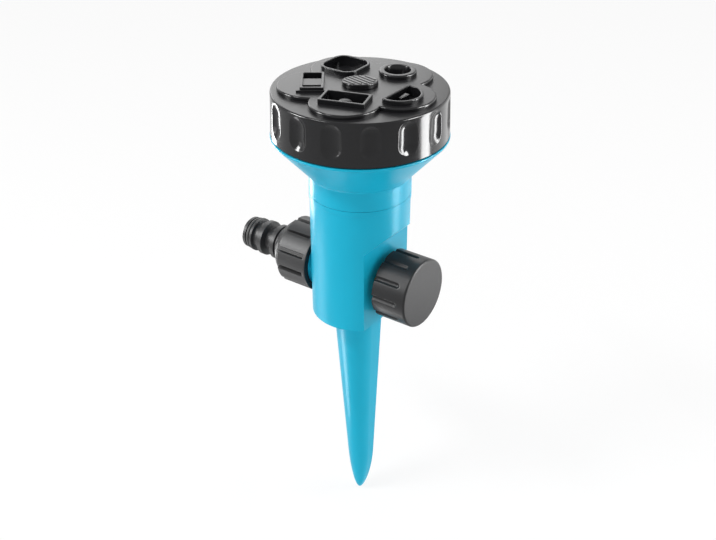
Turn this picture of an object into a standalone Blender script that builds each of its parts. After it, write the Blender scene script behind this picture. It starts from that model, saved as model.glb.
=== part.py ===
# Garden spike sprinkler with a five-shape turret dial, metres, +Z up.
# The origin is on the dial's axis at the body's underside, where the body meets the ground.
# The flow knob points along +X and the hose spigot along -X.

import math

import bmesh
import bpy
from mathutils import Matrix

# Clearances
seat_gap = 0.0003            # between two pieces that rest on or slide past each other
ring_gap = 0.00015           # between an O-ring and its groove or bore
shut_gap = 0.00005           # between the shut valve washer and its seat

# Turret dial
spray_count = 5
spray_gap = 0.0129           # from the screw cover's edge to the circle of the sprays
lobe_radius = 0.0159
ring_face = 0.0029           # outside the lobes, up to the dial's edge
dial_draft = 0.0005          # foot wider than the top
dial_height = 0.0204
dial_wall = 0.0031
dial_plate = 0.0024
dial_edge = 0.0008           # rounding of the top edge
dial_segments = 45
lobe_rise = 0.0019           # raised top above the ring face
lobe_edge = 0.0008
grips_per_spray = 3
grip_width = 0.0092
grip_depth = 0.0019
grip_top_margin = 0.0009     # from the ring face down to a grip pocket
grip_foot_margin = 0.0039    # from the dial's foot up to a grip pocket

# Spray nozzles
rim_rise = 0.0021            # nozzle wall above the raised top
rim_edge = 0.0003
rim_wall = 0.00125
cup_floor = 0.0016           # between a cup and the chamber under it
round_radius = 0.0060
round_wall = 0.00245
round_edge = 0.0007
round_throat_radius = 0.0046
square_side = 0.0168
square_corner = 0.0048
square_throat_radius = 0.0036
slab_length = 0.0184         # rectangle nozzle, along the dial's turn
slab_width = 0.0097
slab_dome_radius = 0.0034
slab_dome_drop = 0.0013      # dome's top below the rim
slab_throat_radius = 0.0017
slot_length = 0.0080         # twin slots, along the dial's radius
slot_width = 0.0043
slot_bridge = 0.0080
slot_bridge_drop = 0.0010
slot_throat_length = 0.0056
slot_throat_width = 0.0024
slot_foot_length = 0.0138    # low foot under the frame's outer end
slot_foot_width = 0.0022
slot_foot_rise = 0.0009
slot_foot_reach = 0.0004     # past the frame's end
nozzle_corner = 0.0004
moon_radius = 0.0090         # half-moon nozzle
moon_back = 0.0012           # flat side behind the centre of the half moon's arc
moon_corner = 0.0010
moon_shift = (0.0016, -0.0024)
moon_fin_length = 0.0060
moon_fin_width = 0.0024      # at its wide end
moon_fin_point = 0.0008      # at its narrow end
moon_fin_place = 0.0020      # from the arc's centre to the fin's middle
moon_fin_drop = 0.0010
moon_throat_length = 0.0078
moon_throat_width = 0.0012

# Chambers and posts under the dial, and the port disc
chamber_radius = 0.0076
chamber_wall = 0.0014
port_radius = 0.0038
port_disc_thickness = 0.0035
port_disc_margin = 0.0027    # inside the deck's edge
post_radius = 0.0016
post_inset = 0.0058          # from the dimples' circle in to the posts' circle
post_bite = 0.0029           # how deep a post reaches into the port disc
dimple_inset = 0.0055        # from the port disc's edge in to the dimples' circle
dimple_radius = 0.0016
dimple_depth = 0.0008

# Pillar, screw and cover at the dial's centre
pillar_radius = 0.0060
nose_radius = 0.0040
hub_wall = 0.0031
hub_floor = 0.0022
hub_floor_drop = 0.0002      # below the underside of the dial's plate
well_radius = 0.0070
screw_radius = 0.0020
screw_head_radius = 0.0044
screw_head_height = 0.0022
screw_length = 0.0140
screw_cross_width = 0.0010
screw_cross_length = 0.0046
screw_cross_depth = 0.0012
washer_margin = 0.0008       # from the washer's edge to the well's wall
washer_thickness = 0.0008
cover_lip = 0.0010           # cover past the well
cover_low_side = 0.0004      # height of the low side, above the cover's underside
cover_high_side = 0.0021
cover_crown = 0.0003         # sloping face above the top of the side
cover_edge = 0.0006
cover_high_angle = math.radians(-54.0)
cover_plug_depth = 0.0018
cover_plug_wall = 0.0014
cover_ridge_count = 6
cover_ridge_pitch = 0.0023
cover_ridge_width = 0.0012
cover_ridge_rise = 0.0003
cover_ridge_angle = math.radians(-20.0)

# Head housing
collar_radius = 0.0236
collar_height = 0.0093
collar_wall = 0.0025
bowl_lip = 0.0002            # rim past the dial's foot
bowl_height = 0.0183         # from the collar's top up to the rim's underside
bowl_rim_height = 0.0009
bowl_wall = 0.0022
skirt_gap = 0.0004           # between the deck's wall and the dial's skirt
deck_rise = 0.0058           # deck above the bowl's rim
deck_thickness = 0.0024
socket_wall = 0.0023         # tube that takes the riser
socket_foot = 0.0050         # above the body's top
socket_cap = 0.0025
duct_bore_radius = 0.0036
duct_wall = 0.0016
duct_drop = 0.0171           # duct's axis below the deck
duct_end_wall = 0.0031
passage_radius = 0.0040
seal_pocket_radius = 0.0062
seal_pocket_depth = 0.0090
seal_pocket_wall = 0.0014
detent_pocket_radius = 0.0023
detent_pocket_depth = 0.0096
detent_pocket_wall = 0.0017

# Outlet seal, click pin and their springs
seal_height = 0.0043
seal_bore_radius = 0.0030
seal_spring_wire = 0.00035
seal_spring_turns = 4
pin_height = 0.0042
pin_tip = 0.0009
detent_spring_wire = 0.00025
detent_spring_turns = 5

# Valve body
band_step = 0.0003           # band under the housing, past the body
body_draft = 0.0004          # top wider than the foot
body_height = 0.0630
band_height = 0.0024
foot_edge = 0.0006
flat_distance = 0.0148       # from the axis to the knob's flat
stub_flat_distance = 0.0186  # from the axis to the stub's flat
flat_height = 0.0408         # above it a flat runs out at 45 degrees
spigot_ring_height = 0.0085  # ring inside the housing's collar
spigot_ring_wall = 0.0022
riser_radius = 0.0085
riser_bore_radius = 0.0055
riser_height = 0.0130        # above the body's top
riser_ring_place = 0.0080    # above the body's top
riser_ring_wire = 0.0006

# Inlet, valve chamber and seat, all on one axis along X
valve_height = 0.0196
stub_radius = 0.01322        # 3/4 inch pipe thread, outside
stub_length = 0.0124         # from its flat
stub_bore_radius = 0.0100
stub_bore_depth = 0.0120
inlet_bore_radius = 0.0050
seat_face = 0.0083           # from the dial's axis toward the inlet
seat_rise = 0.0007
seat_rim = 0.0012
chamber_bore_radius = 0.0080

# Gland nut, spindle and knob
gland_bore_radius = 0.0085
gland_bore_depth = 0.0086    # from the knob's flat
gland_ring_wire = 0.0008
gland_flange_radius = 0.0110
gland_flange = 0.0024
gland_flange_sides = 6
gland_thread_radius = 0.0050
gland_thread_depth = 0.0052
spindle_radius = 0.0032
spindle_thread_length = 0.0053
spindle_neck_length = 0.0015
spindle_neck_radius = 0.0012
spindle_ball_radius = 0.0018
spindle_ring_wire = 0.0006
spindle_ring_back = 0.0032   # ring's middle to the knob's back, as photographed
spindle_flat = 0.0024        # from the spindle's axis to its drive flat
knob_radius = 0.0165
knob_gap = 0.0035            # from the body's flat, as photographed
knob_length = 0.0178
knob_wall = 0.0019
knob_face = 0.0022
knob_edge = 0.0008
knob_groove_count = 11
knob_groove_depth = 0.0009
knob_groove_width = 0.0024
knob_band = 0.0046           # plain band next to the face
knob_hub_radius = 0.0052
knob_hub_drop = 0.0020       # hub behind the knob's back edge
knob_socket_depth = 0.0105

# Jumper and valve washer
valve_closing_travel = 0.0025
jumper_radius = 0.0064
jumper_disc = 0.0016
jumper_socket_wall = 0.0017
jumper_socket_floor = 0.0004
jumper_lip = 0.0006
jumper_nub_radius = 0.0016
jumper_nub_rise = 0.0004
valve_washer_radius = 0.0064
valve_washer_thickness = 0.0018

# Hose connector, along -X
nut_gap = 0.0023             # from the body's flat, as photographed
nut_length = 0.0171          # back to the start of the front taper
nut_radius = 0.0165
nut_groove_count = 11
nut_groove_width = 0.0021
nut_groove_depth = 0.0018
nut_groove_turn = math.radians(16.0)
nut_rib_edge = 0.0006        # slope at the ribs' front ends
nut_taper = 0.0083
nut_front_radius = 0.0095
inlet_washer_thickness = 0.0024
inlet_washer_bore_radius = 0.0068
spigot_length = 0.0215       # from the front of the nut's taper
spigot_radius = 0.0078
spigot_neck_radius = 0.0058
spigot_ridge_radius = 0.0087
spigot_bore_radius = 0.0045
spigot_chamfer = 0.0009
spigot_ring_wire = 0.0011
spigot_ring_radius = 0.0081  # outside of the ring
spigot_lips = 0.0018         # land beside the O-ring groove
spigot_neck = 0.0022
spigot_ridge = 0.0030        # locking ridge with its slope
spigot_catch = 0.0030        # groove behind the locking ridge
spigot_flange = 0.0020
spigot_slit = 0.0008
spigot_collar = 0.0015

# Spike
spike_length = 0.1125
spike_half_width = 0.01015
spike_taper = 0.0508         # loss of half width for each unit of length
spike_point = 0.0245
spike_bluntness = 0.99
spike_shift = 0.0018         # top section moved toward the front
spike_lean = 0.0287          # and back again for each unit of length
spike_arc_share = 0.213
spike_leg_share = 0.585
spike_wall = 0.0022
spike_top_plate = 0.0030
spike_solid_end = 0.0160
tenon_height = 0.0080
tenon_width = 0.0114
tenon_depth = 0.0094
tenon_place = -0.0020
tenon_corner = 0.0010

# Radii and levels that follow from the sizes above
cover_radius = well_radius + cover_lip
washer_radius = well_radius - washer_margin
spray_pitch_radius = cover_radius + spray_gap
dial_top_radius = spray_pitch_radius + lobe_radius + ring_face
dial_foot_radius = dial_top_radius + dial_draft
bowl_rim_radius = dial_foot_radius + bowl_lip
deck_radius = dial_top_radius - dial_wall - skirt_gap
port_disc_radius = deck_radius - port_disc_margin
dimple_pitch_radius = port_disc_radius - dimple_inset
post_pitch_radius = dimple_pitch_radius - post_inset
body_top_radius = collar_radius - band_step
body_foot_radius = body_top_radius - body_draft
collar_foot = body_height + seat_gap
collar_top = collar_foot + collar_height
rim_base = collar_top + bowl_height
bowl_rim_top = rim_base + bowl_rim_height
dial_foot = bowl_rim_top + seat_gap
dial_top = dial_foot + dial_height
dial_under = dial_top - dial_plate
plate_middle = dial_top - dial_plate / 2
lobe_top = dial_top + lobe_rise
rim_top = lobe_top + rim_rise
cup_base = dial_under + cup_floor
deck_top = bowl_rim_top + deck_rise
deck_under = deck_top - deck_thickness
disc_base = deck_top + seat_gap
disc_top = disc_base + port_disc_thickness
chamber_foot = disc_top + seat_gap
hub_floor_top = dial_under - hub_floor_drop
hub_floor_base = hub_floor_top - hub_floor
hub_bore_radius = pillar_radius + seat_gap
pillar_top = hub_floor_base - seat_gap
nose_top = hub_floor_top + seat_gap
washer_base = nose_top + seat_gap
screw_seat = washer_base + washer_thickness + seat_gap
screw_bore_radius = screw_radius + seat_gap
riser_top = body_height + riser_height
socket_radius = riser_radius + seat_gap
duct_height = deck_top - duct_drop
gland_face = flat_distance - gland_bore_depth + seat_gap
gland_guide_radius = spindle_radius + seat_gap
seat_rim_face = seat_face - seat_rise
washer_face = -seat_rim_face + shut_gap + valve_closing_travel
jumper_face = washer_face + valve_washer_thickness + seat_gap
jumper_socket_base = jumper_face + jumper_disc + jumper_socket_floor
ball_centre = jumper_socket_base + seat_gap + spindle_ball_radius
jumper_socket_end = ball_centre + spindle_ball_radius + seat_gap
jumper_end = jumper_socket_end + jumper_lip
spindle_thread_start = jumper_end + spindle_neck_length / 2
knob_back = flat_distance + knob_gap
knob_front = knob_back + knob_length
spindle_end = knob_back + knob_hub_drop + knob_socket_depth - seat_gap
valve_axis = (0.0, 0.0, valve_height)
stub_end = stub_flat_distance + stub_length
nut_back = stub_flat_distance + nut_gap
nut_bore_radius = stub_radius + seat_gap
nut_floor = stub_end + seat_gap + inlet_washer_thickness + seat_gap
spigot_root = nut_back + nut_length + nut_taper
spigot_end = spigot_root + spigot_length


def clear_scene():
    for item in list(bpy.data.objects):
        bpy.data.objects.remove(item, do_unlink=True)


def new_object(name, shape, location):
    mesh = bpy.data.meshes.new(name)
    shape.to_mesh(mesh)
    shape.free()
    piece = bpy.data.objects.new(name, mesh)
    piece.location = location
    bpy.context.scene.collection.objects.link(piece)
    return piece


def surface(name, colour, roughness, metallic=0.0):
    shader = bpy.data.materials.new(name)
    shader.use_nodes = True
    principled = shader.node_tree.nodes["Principled BSDF"]
    principled.inputs["Base Color"].default_value = (*colour, 1.0)
    principled.inputs["Roughness"].default_value = roughness
    principled.inputs["Metallic"].default_value = metallic
    return shader


def dress(piece, shader):
    piece.data.materials.clear()
    piece.data.materials.append(shader)
    if piece.type == "MESH":
        piece.data.shade_smooth()
        piece.data.set_sharp_from_angle(angle=math.radians(35.0))
    return piece


def black_plastic(piece):
    return dress(piece, surface(piece.name + "_black", (0.012, 0.012, 0.013), 0.2))


def blue_plastic(piece):
    return dress(piece, surface(piece.name + "_blue", (0.014, 0.33, 0.52), 0.3))


def white_plastic(piece):
    return dress(piece, surface(piece.name + "_acetal", (0.75, 0.75, 0.72), 0.4))


def rubber(piece):
    return dress(piece, surface(piece.name + "_rubber", (0.02, 0.02, 0.02), 0.7))


def brass(piece):
    return dress(piece, surface(piece.name + "_brass", (0.72, 0.48, 0.2), 0.35, 1.0))


def steel(piece):
    return dress(piece, surface(piece.name + "_steel", (0.6, 0.6, 0.6), 0.3, 1.0))


def polar(radius, angle):
    return (radius * math.cos(angle), radius * math.sin(angle))


def arc(centre, radius, start, end, steps):
    points = []
    for step in range(steps + 1):
        x, y = polar(radius, start + (end - start) * step / steps)
        points.append((centre[0] + x, centre[1] + y))
    return points


# A profile is a list of (radius, height). One that starts and ends on the axis makes a solid,
# and any other is closed on itself and makes a ring.
def turned(name, profile, segments=48, location=(0.0, 0.0, 0.0), along_x=False):
    shape = bmesh.new()
    points = [shape.verts.new((radius, 0.0, height)) for radius, height in profile]
    edges = [shape.edges.new(pair) for pair in zip(points, points[1:])]
    if profile[0][0] > 0.0:
        edges.append(shape.edges.new((points[-1], points[0])))
    bmesh.ops.spin(shape, geom=points + edges, cent=(0, 0, 0), axis=(0, 0, 1), angle=math.tau,
                   steps=segments, use_merge=True, use_duplicate=False)
    bmesh.ops.remove_doubles(shape, verts=shape.verts, dist=1e-6)
    if along_x:
        bmesh.ops.transform(shape, matrix=Matrix.Rotation(math.pi / 2, 4, "Y"), verts=shape.verts)
    bmesh.ops.recalc_face_normals(shape, faces=shape.faces)
    return new_object(name, shape, location)


def rod(name, radius, start, end, segments=32, location=(0.0, 0.0, 0.0), along_x=False):
    profile = [(0.0, start), (radius, start), (radius, end), (0.0, end)]
    return turned(name, profile, segments, location, along_x)


# An outline is a counterclockwise list of (x, y) and becomes an upright prism.
def prism(name, outline, low, high, location=(0.0, 0.0, 0.0), top_edge=0.0, along_x=False):
    shape = bmesh.new()
    floor = shape.faces.new([shape.verts.new((x, y, low)) for x, y in outline])
    lifted = bmesh.ops.extrude_face_region(shape, geom=[floor])["geom"]
    top_points = [item for item in lifted if isinstance(item, bmesh.types.BMVert)]
    bmesh.ops.translate(shape, vec=(0, 0, high - low), verts=top_points)
    bmesh.ops.recalc_face_normals(shape, faces=shape.faces)
    if top_edge > 0.0:
        middle = (low + high) / 2
        rim = [edge for edge in shape.edges if all(point.co.z > middle for point in edge.verts)]
        bmesh.ops.bevel(shape, geom=rim, offset=top_edge, segments=1, profile=0.5, material=-1,
                        affect="EDGES")
    if along_x:
        bmesh.ops.transform(shape, matrix=Matrix.Rotation(math.pi / 2, 4, "Y"), verts=shape.verts)
    return new_object(name, shape, location)


# Each ring of points is joined to the next, and a face closes both ends.
def lofted(name, rings):
    shape = bmesh.new()
    loops = [[shape.verts.new(point) for point in ring] for ring in rings]
    for low, high in zip(loops, loops[1:]):
        for index in range(len(low)):
            after = (index + 1) % len(low)
            shape.faces.new((low[index], low[after], high[after], high[index]))
    shape.faces.new(loops[0])
    shape.faces.new(loops[-1])
    bmesh.ops.recalc_face_normals(shape, faces=shape.faces)
    return new_object(name, shape, (0.0, 0.0, 0.0))


# A round wire wound upward about a vertical axis.
def coil(name, radius, wire, turns, low, high, location):
    points_per_turn = 8
    curve = bpy.data.curves.new(name, "CURVE")
    curve.dimensions = "3D"
    curve.bevel_depth = wire
    curve.bevel_resolution = 1
    curve.use_fill_caps = True
    line = curve.splines.new("POLY")
    count = turns * points_per_turn
    line.points.add(count)
    rise = high - low - 2 * wire
    for index, point in enumerate(line.points):
        x, y = polar(radius, math.tau * index / points_per_turn)
        point.co = (x, y, low + wire + rise * index / count, 1.0)
    piece = bpy.data.objects.new(name, curve)
    piece.location = location
    bpy.context.scene.collection.objects.link(piece)
    return piece


def o_ring(name, outer_radius, wire, height, location=(0.0, 0.0, 0.0), along_x=False):
    profile = arc((outer_radius - wire, height), wire, 0.0, math.tau, 6)[:-1]
    return rubber(turned(name, profile, 24, location, along_x))


def boolean(piece, tool, operation):
    change = piece.modifiers.new(operation.lower(), "BOOLEAN")
    change.operation = operation
    change.solver = "EXACT"
    change.object = tool
    bpy.context.view_layer.update()
    graph = bpy.context.evaluated_depsgraph_get()
    mesh = bpy.data.meshes.new_from_object(piece.evaluated_get(graph))
    piece.modifiers.clear()
    piece.data = mesh
    bpy.data.objects.remove(tool, do_unlink=True)


def add(piece, *tools):
    for tool in tools:
        boolean(piece, tool, "UNION")


def cut(piece, *tools):
    for tool in tools:
        boolean(piece, tool, "DIFFERENCE")


def ride(empty_name, location, *pieces):
    empty = bpy.data.objects.new(empty_name, None)
    empty.location = location
    bpy.context.scene.collection.objects.link(empty)
    for piece in pieces:
        piece.parent = empty
        piece.matrix_parent_inverse = Matrix.Translation([-value for value in location])


def ring_outline(radius, segments):
    return [polar(radius, math.tau * step / segments) for step in range(segments)]


def box_outline(length, width, corner, steps=1):
    points = []
    for quarter, (sign_x, sign_y) in enumerate(((1, 1), (-1, 1), (-1, -1), (1, -1))):
        centre = (sign_x * (length / 2 - corner), sign_y * (width / 2 - corner))
        start = quarter * math.pi / 2
        points += arc(centre, corner, start, start + math.pi / 2, steps)
    return points


# A half disc whose flat side lies behind the arc's centre by the amount given.
def half_moon_outline(radius, behind, corner):
    trim = max(corner - behind, 0.0) / radius
    points = arc((0.0, 0.0), radius, trim - math.pi / 2, math.pi / 2 - trim, 12)
    if behind > corner:
        points = [(corner - behind, -radius)] + points + [(corner - behind, radius)]
    return [(-behind, corner - radius)] + points + [(-behind, radius - corner)]


def placed(outline, angle, centre):
    cosine = math.cos(angle)
    sine = math.sin(angle)
    return [(centre[0] + x * cosine - y * sine, centre[1] + x * sine + y * cosine) for x, y in outline]


def spray_angle(index):
    return math.tau * index / spray_count


def spray_centre(index):
    return polar(spray_pitch_radius, spray_angle(index))


# The raised top has one round lobe for each spray, joined at sharp notches.
def lobed_outline():
    half_pitch = math.pi / spray_count
    reach = spray_pitch_radius * math.cos(half_pitch)
    side = spray_pitch_radius * math.sin(half_pitch)
    notch_radius = reach + math.sqrt(lobe_radius ** 2 - side ** 2)
    notch_x, notch_y = polar(notch_radius, half_pitch)
    sweep = math.atan2(notch_y, notch_x - spray_pitch_radius)
    points = []
    for index in range(spray_count):
        angle = spray_angle(index)
        points += arc(spray_centre(index), lobe_radius, angle - sweep, angle + sweep, 10)[:-1]
    return points


def dial_shell():
    foot_inner = dial_foot_radius - dial_wall
    top_inner = dial_top_radius - dial_wall
    profile = [(0.0, hub_floor_base), (hub_bore_radius, hub_floor_base), (hub_bore_radius, chamber_foot)]
    profile += [(hub_bore_radius + hub_wall, chamber_foot), (hub_bore_radius + hub_wall, dial_under)]
    profile += [(top_inner, dial_under), (foot_inner, dial_foot), (dial_foot_radius, dial_foot)]
    profile += arc((dial_top_radius - dial_edge, dial_top - dial_edge), dial_edge, 0.0, math.pi / 2, 2)
    profile.append((0.0, dial_top))
    return turned("turret_dial", profile, dial_segments)


def well_cutter():
    bore = nose_radius + seat_gap
    below = hub_floor_base - hub_floor
    above = rim_top + rim_rise
    profile = [(0.0, below), (bore, below), (bore, hub_floor_top), (well_radius, hub_floor_top),
               (well_radius, above), (0.0, above)]
    return turned("well", profile, 28)


# An upright capsule beside the dial, whose side just reaches the depth of a grip pocket.
def grip_cutter(angle):
    half = grip_width / 2
    reach = grip_depth - half ** 2 / (2 * dial_foot_radius)
    radius = (half ** 2 + reach ** 2) / (2 * reach)
    low = dial_foot + grip_foot_margin + half
    high = dial_top - grip_top_margin - half
    profile = arc((0.0, low), radius, -math.pi / 2, 0.0, 3)
    profile += arc((0.0, high), radius, 0.0, math.pi / 2, 3)
    profile[0] = (0.0, low - radius)
    profile[-1] = (0.0, high + radius)
    place = polar(dial_foot_radius - grip_depth + radius, angle)
    return turned("grip_cutter", profile, 14, (*place, 0.0))


def rim_block(outline, edge=rim_edge):
    return prism("rim", outline, dial_top - dial_plate / 4, rim_top, top_edge=edge)


def cup_cutter(outline):
    return prism("cup", outline, cup_base, rim_top + rim_rise)


def throat_cutter(outline):
    return prism("throat", outline, dial_under - cup_floor, cup_base + cup_floor)


def half_moon_nozzle(dial):
    centre = (spray_pitch_radius + moon_shift[0], moon_shift[1])
    inner = half_moon_outline(moon_radius, moon_back, moon_corner)
    outer = half_moon_outline(moon_radius + rim_wall, moon_back + rim_wall, moon_corner)
    add(dial, rim_block(placed(outer, 0.0, centre)))
    cut(dial, cup_cutter(placed(inner, 0.0, centre)))
    fin_centre = (centre[0] + moon_fin_place, centre[1])
    half_length = moon_fin_length / 2
    fin = [(-moon_fin_point / 2, -half_length), (moon_fin_point / 2, -half_length),
           (moon_fin_width / 2, half_length), (-moon_fin_width / 2, half_length)]
    add(dial, prism("fin", placed(fin, 0.0, fin_centre), cup_base - cup_floor / 4,
                    rim_top - moon_fin_drop, top_edge=rim_edge))
    throat_x = centre[0] + (moon_fin_place - moon_fin_width / 2 - moon_back) / 2
    throat = box_outline(moon_throat_width, moon_throat_length, moon_throat_width * 0.45)
    cut(dial, throat_cutter(placed(throat, 0.0, (throat_x, centre[1]))))


def round_nozzle(dial):
    centre = spray_centre(1)
    add(dial, rim_block(placed(ring_outline(round_radius + round_wall, 28), 0.0, centre), round_edge))
    above = rim_top + rim_rise
    profile = [(0.0, dial_under - cup_floor), (round_throat_radius, dial_under - cup_floor),
               (round_throat_radius, cup_base), (round_radius, rim_top - rim_edge),
               (round_radius, above), (0.0, above)]
    cut(dial, turned("cone", profile, 28, (*centre, 0.0)))


def square_nozzle(dial):
    centre = spray_centre(2)
    outer_side = square_side + 2 * rim_wall
    inner = box_outline(square_side, square_side, square_corner, 4)
    outer = box_outline(outer_side, outer_side, square_corner + rim_wall, 4)
    add(dial, rim_block(placed(outer, 0.0, centre)))
    cut(dial, cup_cutter(placed(inner, 0.0, centre)))
    cut(dial, throat_cutter(placed(ring_outline(square_throat_radius, 16), 0.0, centre)))


def twin_slot_nozzle(dial):
    centre = spray_centre(3)
    angle = spray_angle(3)
    length = 2 * slot_width + slot_bridge
    inner = box_outline(slot_length, length, nozzle_corner)
    outer = box_outline(slot_length + 2 * rim_wall, length + 2 * rim_wall, nozzle_corner)
    bridge = box_outline(slot_length + rim_wall, slot_bridge, nozzle_corner)
    foot = box_outline(slot_foot_length, slot_foot_width, nozzle_corner)
    foot_offset = length / 2 + rim_wall + slot_foot_reach - slot_foot_width / 2
    foot_centre = placed([(0.0, foot_offset)], angle, centre)[0]
    add(dial, prism("foot", placed(foot, angle, foot_centre), plate_middle, lobe_top + slot_foot_rise))
    add(dial, rim_block(placed(outer, angle, centre)))
    cut(dial, cup_cutter(placed(inner, angle, centre)))
    add(dial, prism("bridge", placed(bridge, angle, centre), cup_base - cup_floor / 4,
                    rim_top - slot_bridge_drop))
    for side in (-1, 1):
        slot_centre = placed([(0.0, side * (slot_bridge + slot_width) / 2)], angle, centre)[0]
        throat = box_outline(slot_throat_length, slot_throat_width, nozzle_corner)
        cut(dial, throat_cutter(placed(throat, angle, slot_centre)))


def rectangle_nozzle(dial):
    centre = spray_centre(4)
    angle = spray_angle(4)
    inner = box_outline(slab_width, slab_length, nozzle_corner)
    outer = box_outline(slab_width + 2 * rim_wall, slab_length + 2 * rim_wall, nozzle_corner)
    add(dial, rim_block(placed(outer, angle, centre)))
    cut(dial, cup_cutter(placed(inner, angle, centre)))
    dome_top = rim_top - slab_dome_drop
    base = cup_base - cup_floor / 4
    dome = [(0.0, base), (slab_dome_radius, base), (slab_dome_radius, dome_top - slab_dome_radius / 3),
            (slab_dome_radius * 0.75, dome_top - slab_dome_radius / 8), (0.0, dome_top)]
    add(dial, turned("dome", dome, 14, (*centre, 0.0)))
    for side in (-1, 1):
        offset = side * (slab_dome_radius + slab_throat_radius + seat_gap)
        throat_centre = placed([(0.0, offset)], angle, centre)[0]
        cut(dial, throat_cutter(placed(ring_outline(slab_throat_radius, 10), 0.0, throat_centre)))


# The feature that takes the most skill: a lobed top with five open nozzles over their chambers.
def make_turret_dial():
    dial = dial_shell()
    add(dial, prism("raised_top", lobed_outline(), plate_middle, lobe_top, top_edge=lobe_edge))
    cut(dial, well_cutter())
    for index in range(spray_count):
        chamber_outer = chamber_radius + chamber_wall
        chamber = [(chamber_radius, chamber_foot), (chamber_outer, chamber_foot),
                   (chamber_outer, plate_middle), (chamber_radius, plate_middle)]
        add(dial, turned("chamber", chamber, 20, (*spray_centre(index), 0.0)))
        post_place = polar(post_pitch_radius, spray_angle(index + 0.5))
        add(dial, rod("post", post_radius, disc_top - post_bite, plate_middle, 8, (*post_place, 0.0)))
    half_moon_nozzle(dial)
    round_nozzle(dial)
    square_nozzle(dial)
    twin_slot_nozzle(dial)
    rectangle_nozzle(dial)
    grip_count = grips_per_spray * spray_count
    for index in range(grip_count):
        cut(dial, grip_cutter(math.tau * index / grip_count))
    return black_plastic(dial)


# An outline lifted to the cover's slope, which rises toward the cover's high side.
def sloping_ring(outline, rise):
    slope = (cover_high_side - cover_low_side) / (2 * cover_radius)
    middle = lobe_top + seat_gap + (cover_high_side + cover_low_side) / 2 + rise
    toward_x, toward_y = polar(slope, cover_high_angle)
    return [(x, y, middle + x * toward_x + y * toward_y) for x, y in outline]


def make_screw_cover():
    base = lobe_top + seat_gap
    plug_radius = well_radius - seat_gap
    segments = 28
    rim = ring_outline(cover_radius, segments)
    crown = ring_outline(cover_radius - cover_edge, segments)
    cover = lofted("screw_cover", [[(x, y, base) for x, y in rim], sloping_ring(rim, 0.0),
                                   sloping_ring(crown, cover_crown)])
    plug = [(plug_radius - cover_plug_wall, base - cover_plug_depth), (plug_radius, base - cover_plug_depth),
            (plug_radius, base + cover_low_side / 2), (plug_radius - cover_plug_wall, base + cover_low_side / 2)]
    add(cover, turned("plug", plug, segments))
    for index in range(cover_ridge_count):
        offset = (index - (cover_ridge_count - 1) / 2) * cover_ridge_pitch
        half = math.sqrt((cover_radius - cover_edge) ** 2 - offset ** 2) - cover_ridge_width / 2
        centre = placed([(0.0, offset)], cover_ridge_angle, (0.0, 0.0))[0]
        ridge = placed(box_outline(2 * half, cover_ridge_width, cover_ridge_width * 0.3),
                       cover_ridge_angle, centre)
        add(cover, lofted("ridge", [sloping_ring(ridge, cover_crown - cover_ridge_rise),
                                    sloping_ring(ridge, cover_crown + cover_ridge_rise)]))
    return black_plastic(cover)


def make_port_disc():
    disc = turned("port_disc", [(hub_bore_radius, disc_base), (port_disc_radius, disc_base),
                                (port_disc_radius, disc_top), (hub_bore_radius, disc_top)], 36)
    dimple = [(0.0, disc_base - dimple_depth), (dimple_radius, disc_base - dimple_depth),
              (dimple_radius, disc_base), (dimple_radius * 0.6, disc_base + dimple_depth * 0.7),
              (0.0, disc_base + dimple_depth)]
    post_hole_floor = disc_top - post_bite - seat_gap
    for index in range(spray_count):
        cut(disc, rod("port", port_radius, disc_base - seat_gap, disc_top + seat_gap, 14,
                      (*spray_centre(index), 0.0)))
        post_place = polar(post_pitch_radius, spray_angle(index + 0.5))
        cut(disc, rod("post_hole", post_radius + seat_gap, post_hole_floor, disc_top + seat_gap, 8,
                      (*post_place, 0.0)))
        dimple_place = polar(dimple_pitch_radius, spray_angle(index + 0.5))
        cut(disc, turned("dimple", dimple, 8, (*dimple_place, 0.0)))
    return white_plastic(disc)


def make_dial_washer():
    top = washer_base + washer_thickness
    return steel(turned("dial_washer", [(screw_bore_radius, washer_base), (washer_radius, washer_base),
                                        (washer_radius, top), (screw_bore_radius, top)], 20))


def make_dial_screw():
    head_top = screw_seat + screw_head_height
    tip = screw_seat - screw_length
    profile = [(0.0, tip), (screw_radius * 0.5, tip), (screw_radius, tip + screw_radius),
               (screw_radius, screw_seat), (screw_head_radius, screw_seat),
               (screw_head_radius, head_top - screw_head_height / 3),
               (screw_head_radius * 0.8, head_top), (0.0, head_top)]
    screw = turned("dial_screw", profile, 16)
    for quarter in range(2):
        bar = box_outline(screw_cross_length, screw_cross_width, screw_cross_width * 0.3)
        cut(screw, prism("cross", placed(bar, quarter * math.pi / 2, (0.0, 0.0)),
                         head_top - screw_cross_depth, head_top + screw_cross_depth))
    return steel(screw)


# Height of the bowl's inner face at a given radius.
def bowl_inner_height(radius):
    slope = bowl_height / (bowl_rim_radius - collar_radius)
    return collar_top + slope * (radius - collar_radius) + bowl_wall * math.hypot(1.0, slope)


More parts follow.
